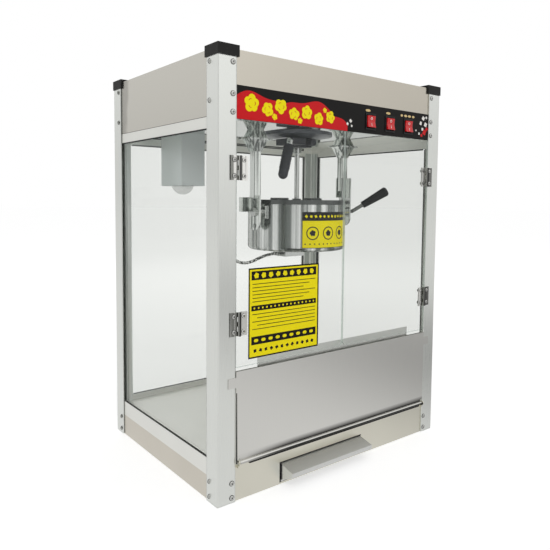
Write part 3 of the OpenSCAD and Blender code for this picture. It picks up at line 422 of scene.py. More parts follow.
def flap_steel():
    """Satin sheet with painted shade along its foot: darker just above the rolled hem and on the hem's
    lower part, less so at its left end.
    """
    m = Material("flap_steel")
    lines = m.noise(m.coords((1, 1, 0.02)), LINES, 3, 0.7)
    x, _, z = m.parts(m.coords())
    # Painted shade above the hem and under it; the power by x makes it weaker at the left end.
    above = m.span(z, (HEM_TOP + 1.5) * MM, (HEM_TOP + 12) * MM, 0.05, 1.0)
    under = m.span(z, (HEM_TOP - 2.1) * MM, (HEM_TOP - 1.2) * MM, 0.05, 1.0)
    on_sheet = m.math("GREATER_THAN", z, HEM_TOP * MM)
    shade = m.math("ADD", m.math("MULTIPLY", on_sheet, above),
                   m.math("MULTIPLY", m.math("SUBTRACT", 1.0, on_sheet), under))
    shade = m.math("POWER", shade, m.span(x, -225 * MM, -120 * MM, 0.1, 1.0))
    tone = m.mix(shade, BLACK, m.varied(lines, srgb(227, 226, 221), 0.015))
    return m.done(m.principled(tone, m.span(lines, 0.3, 0.7, 0.28, 0.36), 1.0, m.bump(lines, 0.03)))


def pull_steel():
    """Drawer pull with painted light by facing: end faces painted brighter, the slope painted a little
    darker and made rougher.
    """
    m = Material("pull_steel")
    lines = m.noise(m.coords((0.02, 1, 1)), LINES, 3, 0.7)
    x, _, z = m.parts(m.normal())
    slope = m.span(z, 0.1, 0.4)
    # Painted light: tones chosen by which way each face points, brighter on the ends, darker on the slope.
    on_end = m.math("GREATER_THAN", m.math("ABSOLUTE", x), 0.7)
    tone = m.mix(on_end, srgb(222, 222, 219), srgb(244, 247, 250))
    tone = m.mix(slope, tone, srgb(214, 214, 209))
    tone = m.mix(m.span(lines, 0.3, 0.7, 0.0, 0.06), tone, srgb(160, 160, 156))
    rough = m.math("MULTIPLY_ADD", slope, 0.32, m.span(lines, 0.3, 0.7, 0.26, 0.34))
    return m.done(m.principled(tone, rough, 1.0, m.bump(lines, 0.03)))


def braid_material():
    """Braided metal: bright wires with dark gaps every few millimetres."""
    m = Material("braided_metal")
    knots = m.noise(m.coords(), 330, 1, 0.4)
    weave = m.noise(m.coords(), 1600, 2)
    tone = m.mix(m.span(knots, 0.42, 0.56, smooth=True), srgb(52, 54, 52), srgb(246, 247, 244))
    return m.done(m.principled(tone, 0.34, 0.9, m.bump(weave, 0.3)))


def frosted_glass():
    """Frosted bulb: pale, and more than half clear to what stands behind it."""
    m = Material("frosted_bulb")
    cloud = m.noise(m.coords(), 40, 2)
    tone = m.mix(m.span(cloud, 0.35, 0.65), srgb(250, 252, 248), srgb(254, 255, 252))
    skin = m.principled(tone, 0.7, 0.2, Specular_IOR_Level=0.6)
    return m.done(m.either(0.64, skin, m.clear()))


# Directions of the rolling lines: small along the axis, or the two axes, that they follow.
ALONG_X, FINE_X = (0.02, 1, 1), (0.01, 1, 1)
LEVEL, FINE_LEVEL = (0.02, 0.02, 1), (0.01, 0.01, 1)
SHEET = {"streak": 0.003, "bump": 0.0015, "spread": 0.012}

LOOKS = {
    "post": metal("satin_aluminium", srgb(238, 240, 235), 0.3, (1, 1, 0.01), 0.01, 0.02, 0.02, corner=3.5),
    "cap": moulded("black_cap", srgb(38, 38, 37), 0.5, specular=0.15),
    "hood": hood_steel(),
    "fascia": metal("fascia_steel", srgb(211, 205, 192), 0.26, FINE_X, cloud=0.03, **SHEET),
    "bead": streaked("bead_steel", srgb(206, 210, 205), srgb(252, 254, 250), 90, 0.42),
    "rail": metal("rail_steel", srgb(246, 246, 240), 0.34, LEVEL, 0.008, 0.03),
    "base": metal("base_steel", srgb(230, 227, 213), 0.28, FINE_LEVEL, cloud=0.05, **SHEET),
    "skirt": metal("skirt_steel", srgb(224, 218, 205), 0.28, FINE_LEVEL, cloud=0.05, **SHEET),
    "ceiling": metal("polished_ceiling", srgb(222, 225, 221), 0.035, ALONG_X, 0.02, 0.04, 0.01, 0.02),
    "floor": metal("floor_steel", srgb(208, 208, 203), 0.42, ALONG_X, 0.03, 0.04),
    "flap": flap_steel(),
    "cross": metal("cross_rail_steel", srgb(236, 237, 232), 0.4, ALONG_X, 0.03, 0.05),
    "drawer": metal("drawer_steel", srgb(196, 197, 192), 0.33, ALONG_X, 0.01, 0.05),
    "pull": pull_steel(),
    # The hinge leaves carry painted shade towards the right and past the right hinges.
    "hinge": streaked("nickel_hinge", srgb(150, 151, 145), srgb(248, 247, 242), 150, 0.24, painted_shade_right=True),
    "screw": metal("nickel_screw", srgb(206, 206, 202), 0.2, streak=0.06, cloud=0.1),
    "hanger": streaked("bright_hanger", srgb(126, 131, 127), srgb(240, 243, 239), 190, 0.2),
    "bright": metal("bright_steel", srgb(212, 214, 211), 0.2, streak=0.04, cloud=0.08),
    "rod": metal("rod_steel", srgb(124, 126, 122), 0.24, streak=0.04, cloud=0.08),
    "lamp": metal("lamp_sheet", srgb(247, 254, 252), 0.5, (1, 1, 0.03), 0.02, 0.04),
    "pan": metal("pan_steel", srgb(178, 180, 176), 0.28, (1, 1, 0.3), 0.04, 0.08),
    "lid": metal("lid_steel", srgb(104, 107, 105), 0.3, ALONG_X, 0.08, 0.12),
    "heater": moulded("cast_heater", srgb(92, 92, 90), 0.6, 900, 0.3),
    "motor": moulded("motor_paint", srgb(58, 62, 66), 0.45),
    "cover": moulded("cover_enamel", srgb(94, 97, 103), 0.3, 1200, 0.05, 0.06, 0.25),
    "block": moulded("block_enamel", srgb(62, 63, 68), 0.4),
    "grip": moulded("dark_grip", srgb(56, 57, 62), 0.48, 2200, 0.2),
    "bakelite": moulded("black_bakelite", srgb(20, 21, 21), 0.42, 2200, 0.2, specular=0.15),
    "ceramic": moulded("lamp_ceramic", srgb(226, 222, 210), 0.3, 600, 0.05),
    "rocker": moulded("red_rocker", srgb(206, 22, 26), 0.16, 300, 0.01, 0.05, 0.5),
    "bezel": moulded("bezel_plastic", srgb(24, 24, 24), 0.32),
    "sign": printed("sign_black", srgb(30, 29, 28), 0.3, specular=0.1),
    "red": printed("print_red", srgb(208, 26, 32), 0.3),
    "yellow": printed("print_yellow", srgb(250, 232, 14), 0.34),
    "warm_yellow": printed("print_yellow_inside", srgb(255, 236, 0), 0.4, specular=0.05),
    "white": printed("print_white", srgb(240, 238, 232), 0.34),
    "black": printed("print_black", srgb(26, 24, 22), 0.34),
    "cream": printed("print_cream", srgb(222, 196, 140), 0.34),
    # Black glazing rubber, also used for the strips of painted shade in seams, gaps and hinges.
    "rubber_and_shade": moulded("black_rubber_and_shade", srgb(34, 34, 34), 0.6),
    # Painted shade in the recesses of screws and studs and round their feet.
    "recess": moulded("painted_recess_shade", srgb(48, 48, 47), 0.5),
    "gland": moulded("gland_plastic", srgb(40, 40, 40), 0.5),
    "kettle": kettle_steel(),
    "braid": braid_material(),
    "bulb": frosted_glass(),
    "glass_left": glass("side_pane", 0),
    "glass_door": glass("door_pane", 1),
    # The right and rear panes are tinted greyer than the others: partly the glass's own tint, partly
    # painted shade that dims the backdrop seen through them.
    "glass_right": glass("right_pane", 0, tint=(0.872, 0.878, 0.866, 1)),
    "glass_rear": glass("rear_pane", 1, tint=(0.918, 0.923, 0.912, 1)),
}

# The CAD nodes that each material dresses.
DRESS = {
    "post": "post_front_left post_front_right post_rear_left post_rear_right",
    "cap": "corner_caps",
    "hood": "roof_panel hood_panels",
    "fascia": "front_fascia",
    "sign": "sign_panel",
    "ceiling": "ceiling_panel",
    "rail": "glass_rails",
    "base": "base_front_plate bottom_plate",
    "skirt": "base_skirts",
    "floor": "floor_pan",
    "glass_left": "side_glass_left",
    "glass_right": "side_glass_right",
    "glass_rear": "rear_glass",
    "screw": "frame_screws hinge_pins",
    "hinge": "hinge_post_leaves door_left_leaves door_right_leaves",
    "cross": "front_cross_rail",
    "bright": "drawer_runners lead_socket drive_coupling release_lever kettle_terminal_box "
              "kettle_trunnions stirrer",
    "lamp": "lamp_housing",
    "ceramic": "lamp_socket",
    "bulb": "lamp_bulb",
    "hanger": "hanger_left hanger_right",
    "cover": "drive_cover",
    "motor": "gear_motor",
    "block": "drive_block",
    "bezel": "switch_frames",
    "gland": "mains_inlet",
    "grip": "release_grip",
    "glass_door": "door_left_glass door_right_glass",
    "flap": "serving_flap",
    "drawer": "drawer_tray",
    "pull": "drawer_pull",
    "kettle": "kettle_shell",
    "pan": "kettle_pan",
    "heater": "heating_plate",
    "lid": "kettle_bridge lid_front lid_rear",
    "rod": "dump_rod",
    "bakelite": "dump_grip",
    "rocker": "rocker_1 rocker_2 rocker_3",
    "braid": "kettle_lead",
}
for key, nodes in DRESS.items():
    for node in nodes.split():
        mesh = NODES[node].data
        mesh.materials.clear()
        mesh.materials.append(LOOKS[key])

# ---- mesh helpers


def new_object(name, bm, material, smooth=False):
    """An object made from a bmesh, which is freed."""
    mesh = bpy.data.meshes.new(name)
    bm.to_mesh(mesh)
    bm.free()
    for p in mesh.polygons:
        p.use_smooth = smooth
    mesh.materials.append(material)
    o = bpy.data.objects.new(name, mesh)
    bpy.context.scene.collection.objects.link(o)
    return o


def piece(name, bm, key, body):
    """A finished mesh piece that rides on a body."""
    bmesh.ops.recalc_face_normals(bm, faces=bm.faces)
    o = new_object(name, bm, LOOKS[key])
    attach(o, body)
    return o


def band(bm, one, other):
    """Faces between two closed loops of as many vertices."""
    for k in range(len(one)):
        n = (k + 1) % len(one)
        bm.faces.new((one[k], one[n], other[n], other[k]))


def prism(bm, low, high):
    """A closed prism between two outlines of as many points, in metres."""
    low, high = ([bm.verts.new(point) for point in outline] for outline in (low, high))
    band(bm, low, high)
    bm.faces.new(low)
    bm.faces.new(high)


def bar(bm, low, high):
    """A bar between two corners."""
    middle = (Vector(low) + Vector(high)) / 2 * MM
    size = [(b - a) * MM for a, b in zip(low, high)]
    bmesh.ops.create_cube(bm, size=1.0, matrix=Matrix.Translation(middle) @ Matrix.Diagonal((*size, 1.0)))


def side_bar(bm, side, x, y, z):
    """A bar over three spans, on the right as given or mirrored to the left."""
    x0, x1 = sorted((side * x[0], side * x[1]))
    bar(bm, (x0, y[0], z[0]), (x1, y[1], z[1]))


def slab(bm, place, outline_rows, low, high):
    """A thin closed sheet over rows of (u, v) points, each row as long as the first."""
    layers = []
    for lift in (low, high):
        layers.append([[bm.verts.new(place(u, v, lift)) for u, v in row] for row in outline_rows])
    rows, cols = len(outline_rows), len(outline_rows[0])
    for grid in layers:
        for i in range(rows - 1):
            for j in range(cols - 1):
                bm.faces.new((grid[i][j], grid[i + 1][j], grid[i + 1][j + 1], grid[i][j + 1]))
    rim = [(0, j) for j in range(cols)] + [(i, cols - 1) for i in range(1, rows)]
    rim += [(rows - 1, j) for j in range(cols - 2, -1, -1)] + [(i, 0) for i in range(rows - 2, 0, -1)]
    for k, (i, j) in enumerate(rim):
        i2, j2 = rim[(k + 1) % len(rim)]
        bm.faces.new((layers[0][i][j], layers[0][i2][j2], layers[1][i2][j2], layers[1][i][j]))


def patch(bm, place, u0, u1, v0, v1, low, high, steps=1):
    """A thin rectangle."""
    cols = [u0 + (u1 - u0) * k / steps for k in range(steps + 1)]
    slab(bm, place, [[(u, v) for u in cols] for v in (v0, v1)], low, high)


def blob(bm, place, cu, cv, radius, low, high, count, rings=3):
    """A thin closed disc whose radius is a function of the angle."""
    def point(k, share, lift):
        a = math.tau * k / count
        r = radius(a) * share
        return bm.verts.new(place(cu + r * math.cos(a), cv + r * math.sin(a), lift))

    sides = []
    for lift in (low, high):
        centre = bm.verts.new(place(cu, cv, lift))
        loops = [[point(k, (n + 1) / rings, lift) for k in range(count)] for n in range(rings)]
        for k in range(count):
            bm.faces.new((centre, loops[0][k], loops[0][(k + 1) % count]))
            for a, b in zip(loops, loops[1:]):
                bm.faces.new((a[k], b[k], b[(k + 1) % count], a[(k + 1) % count]))
        sides.append(loops[-1])
    for k in range(count):
        n = (k + 1) % count
        bm.faces.new((sides[0][k], sides[1][k], sides[1][n], sides[0][n]))


def hoop(bm, place, cu, cv, r0, r1, low, high, count=48, start=0.0, turn=math.tau):
    """A thin flat ring, or an arc of one."""
    closed = turn == math.tau
    n = count + (0 if closed else 1)

    def point(r, k, lift):
        a = start + turn * k / count
        return bm.verts.new(place(cu + r * math.cos(a), cv + r * math.sin(a), lift))

    section = ((r0, low), (r1, low), (r1, high), (r0, high))
    rings = [[point(r, k, lift) for k in range(n)] for r, lift in section]
    for k in range(count):
        after = (k + 1) % n
        for a, b in ((0, 1), (1, 2), (2, 3), (3, 0)):
            bm.faces.new((rings[a][k], rings[a][after], rings[b][after], rings[b][k]))
    if not closed:
        for k in (0, n - 1):
            bm.faces.new([ring[k] for ring in rings])


def puff(size, seed, lobes=5):
    """Outline of a popped kernel: round lobes of unlike size about a middle."""
    rnd = random.Random(seed)
    turn = rnd.uniform(0, math.tau)
    discs = [(0.0, 0.0, size * 0.55)]
    for k in range(lobes):
        a = turn + math.tau * (k + rnd.uniform(-0.12, 0.12)) / lobes
        discs.append((size * 0.52 * math.cos(a), size * 0.52 * math.sin(a), size * rnd.uniform(0.38, 0.5)))

    def radius(a):
        best = 0.0
        for x, y, r in discs:
            along = x * math.cos(a) + y * math.sin(a)
            off = x * math.sin(a) - y * math.cos(a)
            if abs(off) < r:
                best = max(best, along + math.sqrt(r * r - off * off))
        return best

    return radius


# ---- sign

PRINT, SPOT_PRINT = 0.08, 0.1  # thickness of a layer of the hills, and of a spot on black
# Kernels as (x, z, size), and the ovals over the switches as (x, half width).
PUFFS = [
    (-214, 667, 15.5), (-181, 660, 12.5), (-153, 668, 13.5), (-124, 658, 12.0), (-95, 664, 13.0),
    (-66, 655, 11.5), (-38, 661, 12.0), (-166, 649, 6.0), (-110, 648, 5.5), (-52, 672, 5.0),
]
WHITE_PUFFS = [
    (6, 653, 3.2), (14, 659, 4.0), (17, 650, 2.6), (221, 673, 4.2), (229, 684, 5.0),
    (237, 671, 5.4), (227, 661, 3.6), (239, 686, 3.2), (216, 651, 3.0), (206, 657, 2.2),
]
RED_PUFFS = [(233, 655, 6.5), (241, 662, 4.5), (224, 648, 4.0)]
SWITCH_MARKS = ((61, 7), (119, 6.5), (160, 3.5), (172, 5), (184, 5), (196, 4))
MARK_Z, MARK_HIGH = 683.5, 2.4


def on_sign(u, v, lift):
    """Point on the sign's face."""
    return Vector((u, FRONT_Y - lift, v)) * MM


def oval(wide, high):
    """Outline of an oval, given by its half width and half height."""
    return lambda a: 1 / math.hypot(math.cos(a) / wide, math.sin(a) / high)


def make_sign():
    """Generic print of the sign: red hills with popped kernels on black."""
    red = bmesh.new()
    foot, step = SIGN_FOOT + 0.4, 2
    cols = [1 - POST_X + k * step for k in range(126)]

    def crest(x):
        """Round hills, which fade out before the switches."""
        swell = 30 + 15 * abs(math.sin((x + 262) / 37)) + 4 * math.sin(x / 13)
        fade = max(0.0, min(1.0, (8 - x) / 46))
        return foot + swell * math.sqrt(fade)

    top = [(x, max(crest(x), foot + 0.2)) for x in cols]
    slab(red, on_sign, [[(x, foot) for x in cols], top], 0.0, PRINT)
    piece("sign_red_field", red, "red", "root")

    yellow, folds = bmesh.new(), bmesh.new()
    for i, (x, z, r) in enumerate(PUFFS):
        blob(yellow, on_sign, x, z, puff(r, i), PRINT, 2 * PRINT, 60)
        for k in range(3):
            a = 2.1 * k + i
            hoop(folds, on_sign, x + 0.25 * r * math.cos(a), z + 0.25 * r * math.sin(a), r * 0.2,
                 r * 0.27, 2 * PRINT, 2.5 * PRINT, 10, a - 1.0, 1.9)
    piece("sign_yellow_puffs", yellow, "yellow", "root")
    piece("sign_puff_folds", folds, "red", "root")

    for key, puffs, first_seed in (("white", WHITE_PUFFS, 30), ("red", RED_PUFFS, 60)):
        bm = bmesh.new()
        for i, (x, z, r) in enumerate(puffs):
            blob(bm, on_sign, x, z, puff(r, first_seed + i, 4), 0.0, SPOT_PRINT, 36)
        piece(f"sign_{key}_puffs", bm, key, "root")

    marks = bmesh.new()
    for x, wide in SWITCH_MARKS:
        blob(marks, on_sign, x, MARK_Z, oval(wide, MARK_HIGH), 0.0, SPOT_PRINT, 32)
    piece("switch_marks", marks, "cream", "root")


make_sign()

# ---- rocker marks

ROCKER_LOW_OUT, ROCKER_DIP, ROCKER_TOP_OUT = 9.5, 6.8, 8.2  # how far the face stands out of the pivot


def make_rocker_marks():
    """The line and ring that rockers carry, on the two halves of each face."""
    for i in (1, 2, 3):
        lo, hi = box_mm(f"rocker_{i}")
        middle = Vector(((lo[0] + hi[0]) / 2, lo[1] + ROCKER_LOW_OUT, (lo[2] + hi[2]) / 2))
        half = (hi[2] - lo[2]) / 2

        def on_face(u, v, lift):
            """Point on the two slopes of the rocker's face, from its middle."""
            end = ROCKER_LOW_OUT if v < 0 else ROCKER_TOP_OUT
            out = ROCKER_DIP + (end - ROCKER_DIP) * abs(v) / half
            return (middle + Vector((u, -out - lift, v))) * MM

        bm = bmesh.new()
        patch(bm, on_face, -0.5, 0.5, -8.4, -3.2, -0.05, 0.08)
        hoop(bm, on_face, 0, 5.6, 1.7, 2.6, -0.05, 0.08, 24)
        piece(f"rocker_mark_{i}", bm, "white", f"switch_{i}")


make_rocker_marks()

# ---- placards

DOOR_CARD, KETTLE_CARD, INK = 0.12, 0.1, 0.06  # thicknesses of the two cards and of their ink


def on_door(u, v, lift):
    """Point on the front of the closed doors."""
    return Vector((u, DOOR_Y - lift, v)) * MM


def make_door_placard():
    """Generic yellow and black card on the left door, without words or signs."""
    left, right, foot, top = -220.0, -64.0, 240.0, 394.0
    field, print_1, print_2, print_3 = (DOOR_CARD + k * INK for k in range(4))
    black, yellow = bmesh.new(), bmesh.new()
    patch(black, on_door, left, right, foot, top, 0.0, field)
    patch(yellow, on_door, left + 2.6, right - 2.6, foot + 2.6, top - 2.6, field, print_1)
    for down, high in ((5.5, 15.0), (64.0, 9.0), (117.0, 14.0)):
        patch(black, on_door, left + 6, right - 6, top - down - high, top - down, print_1, print_2)
    for k in range(6):
        v = top - 28 - k * 6
        patch(black, on_door, left + 8, right - 8 - (k % 3) * 14, v, v + 1.2, print_1, print_2)
    for k in range(5):
        v = top - 79.5 - k * 6.4
        patch(black, on_door, left + 8 + (k % 2) * 10, right - 8, v, v + 1.2, print_1, print_2)
    for k in range(9):
        u = left + 16 + k * 15.4
        blob(yellow, on_door, u, top - 13, puff(5.2, 80 + k), print_2, print_3, 36)
        blob(yellow, on_door, u, top - 124, lambda a: 3.6 + 0.9 * math.cos(2 * a), print_2, print_3, 28)
    for k in range(16):
        blob(yellow, on_door, left + 12 + k * 8.8, top - 68.5, lambda a: 1.7, print_2, print_3, 20, 1)
    for k in range(12):
        blob(black, on_door, left + 14 + k * 11.6, foot + 12.5, puff(3.6, 100 + k, 4), print_1, print_2, 30)
    piece("door_placard_black", black, "black", "left_door")
    piece("door_placard_yellow", yellow, "yellow", "left_door")


def on_kettle(angle, v, lift):
    """Point on the kettle's wall; the angle is in degrees from the front towards +X."""
    a, r = math.radians(angle), KETTLE_R + lift
    return Vector((r * math.sin(a), KETTLE_Y - r * math.cos(a), v)) * MM


def along_kettle(u, v, lift):
    """Point on the kettle's wall; u is the length round it from the front."""
    return on_kettle(u * math.degrees(1 / KETTLE_R), v, lift)


def make_kettle_placard():
    """Generic card on the kettle: a dark band over a yellow field with four plain rings."""
    left, right, foot, top = -33.0, 64.0, 416.0, 486.0
    field, print_1, print_2 = (KETTLE_CARD + k * INK for k in range(3))
    black, yellow = bmesh.new(), bmesh.new()
    patch(black, on_kettle, left, right, foot, top, 0.0, field, 30)
    patch(yellow, on_kettle, left + 0.5, right - 0.5, foot + 1, top - 17, field, print_1, 30)
    for k in range(4):
        u, v = -37 + k * 35, foot + 29
        hoop(black, along_kettle, u, v, 11.0, 13.0, print_1, print_2)
        blob(black, along_kettle, u, v, puff(6.5, 12 + k), print_1, print_2, 36)
    for k in range(17):
        blob(black, along_kettle, -52 + k * 9.6, foot + 8, lambda a: 1.4, print_1, print_2, 16, 1)
        blob(yellow, along_kettle, -50 + k * 9.6, top - 8.5, puff(3.0, 130 + k, 4), field, print_1, 30)
    piece("kettle_placard_black", black, "black", "kettle")
    piece("kettle_placard_yellow", yellow, "warm_yellow", "kettle")


make_door_placard()
make_kettle_placard()

# ---- screws

SCREW_GROWTH = 1.2  # the dressed heads are wider than the plain ones
LARGE_HEAD = 6.7  # least width of a large plain head
LARGE_HEAD_HIGH, SMALL_HEAD_HIGH = 2.0, 1.4
CROSS_REACH = 0.46  # of the head's radius
# A head's rim from its foot to the flat top, as shares of its radius and height.
HEAD_PROFILE = [(1.0, 0.0), (1.0, 0.3), (0.97, 0.5), (0.88, 0.74), (0.72, 0.92), (0.55, 0.985)]


def cross_outline(reach, half, turn):
    """Outline of a cross with four arms, as (x, y) points."""
    points = []
    for q in range(4):
        c, s = math.cos(turn + q * math.pi / 2), math.sin(turn + q * math.pi / 2)
        for x, y in ((half, -half), (reach, -half), (reach, half)):
            points.append((x * c - y * s, x * s + y * c))
    return points


def cross_mark(bm, place, cu, cv, reach, half, low, high, turn):
    """A thin flat cross."""
    outline = cross_outline(reach, half, turn)
    prism(bm, *([place(cu + x, cv + y, lift) for x, y in outline] for lift in (low, high)))


def screw_head(bm, matrix, r, h, turn):
    """A pan head with a cross recess; local +Z points out of the head."""
    count = 32

    def point(k, share, rise):
        a = math.tau * k / count
        return bm.verts.new(matrix @ Vector((share * r * math.cos(a), share * r * math.sin(a), rise * h)))

    loops = [[point(k, share, rise) for k in range(count)] for share, rise in HEAD_PROFILE]
    for lower, upper in zip(loops, loops[1:]):
        band(bm, lower, upper)
    arms = cross_outline(CROSS_REACH * r, 0.12 * r, turn)
    top = [bm.verts.new(matrix @ Vector((x, y, h))) for x, y in arms]
    low = [bm.verts.new(matrix @ Vector((x * 0.7, y * 0.7, 0.55 * h))) for x, y in arms]
    band(bm, top, low)
    bm.faces.new(low)
    rim_edges = [bm.edges.get((loops[-1][k], loops[-1][(k + 1) % count])) for k in range(count)]
    top_edges = [bm.edges.get((top[k], top[(k + 1) % len(arms)])) for k in range(len(arms))]
    bmesh.ops.triangle_fill(bm, edges=rim_edges + top_edges, use_beauty=True, use_dissolve=False)
    bm.faces.new(loops[0][::-1])


def screw_shadow(bm, matrix, r, h, turn):
    """Painted shade: a dark ring round the head's foot and a dark cross in its recess."""
    def place(u, v, lift):
        return matrix @ Vector((u, v, lift))

    hoop(bm, place, 0, 0, r * 0.97, r * 1.12, 0.0, h * 0.3, 32)
    cross_mark(bm, place, 0, 0, CROSS_REACH * r, 0.13 * r, h * 0.9, h * 0.985, turn)


def make_screws():
    """Cross-recessed pan heads in place of the plain frame screws."""
    heads, dark = bmesh.new(), bmesh.new()
    for lo, hi in solids_of("frame_screws"):
        size = hi - lo
        wide = max(size[2], min(size[0], size[1]))
        axis = 1 if abs(size[0] - size[2]) < abs(size[1] - size[2]) else 0
        base = (lo + hi) / 2
        side = 1 if base[axis] > 0 else -1
        high = (LARGE_HEAD_HIGH if wide > LARGE_HEAD * MM else SMALL_HEAD_HIGH) * MM
        base[axis] = (hi[axis] if side > 0 else lo[axis]) - side * high
        out = Vector((0, 0, 0))
        out[axis] = side
        place = Matrix.Translation(base) @ out.to_track_quat("Z", "Y").to_matrix().to_4x4()
        turn = random.uniform(0, 1.57)
        screw_head(heads, place, wide / 2 * SCREW_GROWTH, high, turn)
        # The dark rings and crosses are painted shade.
        screw_shadow(dark, place, wide / 2 * SCREW_GROWTH, high, turn)
    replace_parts(piece("screw_heads", heads, "screw", "root"), "frame_screws")
    piece("screw_painted_shadows", dark, "recess", "root")


def make_stud_marks():
    """Painted shade on the studs that clamp the hinges to the doors: dark crosses in their recesses and
    dark rings at their feet.
    """
    def on_leaf(u, v, lift):
        return Vector((u, DOOR_Y - LEAF_THICK - lift, v)) * MM

    for side, name in ((-1, "left"), (1, "right")):
        bm = bmesh.new()
        for z in HINGE_ZS:
            for rise in (-STUD_RISE, STUD_RISE):
                cross_mark(bm, on_leaf, side * STUD_X, z + rise, 2.2, 0.6, STUD_HIGH - 0.02,
                           STUD_HIGH + 0.06, 0.5)
                hoop(bm, on_leaf, side * STUD_X, z + rise, STUD_R, STUD_R + 0.65, -0.02, 0.2, 28)
        piece(f"hinge_stud_shadows_{name}", bm, "recess", f"{name}_door")


make_screws()
make_stud_marks()

# ---- gaskets, strips of painted shade, and beads


def make_gaskets():
    """Black glazing rubber in the mouths of the rails, and beside the side panes at the front posts."""
    bm = bmesh.new()
    side_skin, rear_skin = ((face - 0.05, face + 0.25) for face in (SIDE_PANE_X, REAR_PANE_HIGH[1]))
    along_side = (3 - POST_Y, POST_Y - 3)
    for side in (-1, 1):
        side_bar(bm, side, side_skin, along_side, (RAIL_TOP, RAIL_TOP + 1.3))
        side_bar(bm, side, side_skin, along_side, (RAIL_FOOT - 2.4, RAIL_FOOT))
        side_bar(bm, side, side_skin, (-POST_Y - 1.4, 0.4 - POST_Y), (RAIL_TOP + 1.3, RAIL_FOOT - 1.4))
    for foot, top in ((RAIL_TOP, RAIL_TOP + 1.3), (RAIL_FOOT - 1.4, RAIL_FOOT)):
        bar(bm, (2 - POST_X, rear_skin[0], foot), (POST_X - 2, rear_skin[1], top))
    piece("glazing_rubber", bm, "rubber_and_shade", "root")


def make_seams():
    """Black strips of painted shade: in the seams of the side sheets and rails, in the drawer's gap, and
    under the flap's hem.
    """
    bm = bmesh.new()
    side_skin = (SIDE_X - 0.1, SIDE_X + 0.2)
    seam_foot = HOOD_FOOT - 0.6
    for side in (-1, 1):
        for y, z in (
            ((1 - POST_Y, POST_Y - 1), (seam_foot, HOOD_FOOT + 0.1)),
            ((-POST_Y, 1.1 - POST_Y), (RAIL_FOOT, seam_foot)),
            ((POST_Y - 1, POST_Y), (RAIL_FOOT, ROOF_Z - 2)),
            ((POST_Y - 0.8, POST_Y), (2.0, RAIL_TOP)),
        ):
            side_bar(bm, side, side_skin, y, z)

    shade_left, shade_right = -216.0, 236.0
    bar(bm, (shade_left, FRONT_Y - 3.4, HEM_FOOT - 4.8), (shade_right, FRONT_Y + 0.1, HEM_FOOT - 0.1))

    pull_low, pull_high = box_mm("drawer_pull")
    cut_left, cut_right, cut_top = pull_low[0] - 1.5, pull_high[0] + 1.5, pull_high[2] + 1.5
    front, back = FRONT_Y - 0.2, FRONT_Y + 0.1
    bar(bm, (cut_left - 1.6, front, 3.0), (cut_left + 0.1, back, cut_top))
    bar(bm, (cut_left - 1.6, front, cut_top - 0.1), (cut_right + 0.5, back, cut_top + 1.4))

    rail_face = REAR_PANE_LOW[1] - 1.2
    for foot, top in ((HOOD_FOOT - 3.0, HOOD_FOOT - 0.4), (RAIL_FOOT, RAIL_FOOT + 1.2)):
        bar(bm, (2 - POST_X, rail_face - 0.4, foot), (POST_X - 2, rail_face - 0.05, top))
    piece("seam_shadows", bm, "rubber_and_shade", "root")


def make_flap_edge_shadow():
    """Black strip of painted shade in the gap between the flap's left edge and the post, narrower towards
    its top.
    """
    bm = bmesh.new()
    foot, top, face = HEM_FOOT + 2, HEM_FOOT + 123, DOOR_Y - LEAF_THICK
    run = [(0.6 - POST_X, foot), (3.2 - POST_X, foot), (2.2 - POST_X, top), (0.6 - POST_X, top)]
    prism(bm, *([Vector((x, y, z)) * MM for x, z in run] for y in (face - 0.2, face)))
    piece("flap_edge_shadow", bm, "rubber_and_shade", "flap")


def make_knuckle_lines():
    """Black strips of painted shade down the hinge knuckles and along the edges of the post leaves."""
    bm = bmesh.new()
    knuckle_y = (HINGE_FRONT - 0.3, HINGE_FRONT + 0.5)
    leaf_y = (DOOR_Y - LEAF_THICK - 0.15, DOOR_Y - LEAF_THICK + 0.1)
    for side in (-1, 1):
        for z in HINGE_ZS:
            tall = (z - HINGE_HALF, z + HINGE_HALF)
            side_bar(bm, side, (HINGE_X - 1.5, HINGE_X + 1.5), knuckle_y, tall)
            side_bar(bm, side, (LEAF_END - 0.3, LEAF_END + 0.5), leaf_y, tall)
            side_bar(bm, side, (HINGE_X + 3.0, HINGE_X + 3.6), leaf_y, tall)
    piece("hinge_knuckle_lines", bm, "rubber_and_shade", "root")


def make_corner_beads():
    """Bright angle strips that cover the edges of the panes in the two rear corners."""
    bm = bmesh.new()
    x_in, y_in = REAR_PANE_HIGH[0], REAR_PANE_LOW[1] - 0.6
    foot, top = REAR_PANE_LOW[2] + 2.0, REAR_PANE_HIGH[2] - 8.0
    edge_x, edge_y, thick, lip = POST_X + 2, POST_Y + 2, 0.8, 1.6
    run = [
        (x_in, edge_y), (x_in - lip, edge_y), (x_in - thick, edge_y + lip),
        (x_in - thick, y_in - thick), (edge_x + lip, y_in - thick), (edge_x, y_in - lip),
        (edge_x, y_in), (x_in, y_in),
    ]
    for side in (-1, 1):
        prism(bm, *([Vector((side * x, y, z)) * MM for x, y in run] for z in (foot, top)))
    piece("corner_beads", bm, "bead", "root")


make_gaskets()
make_seams()
make_flap_edge_shadow()
make_knuckle_lines()
make_corner_beads()

# ---- kettle lead

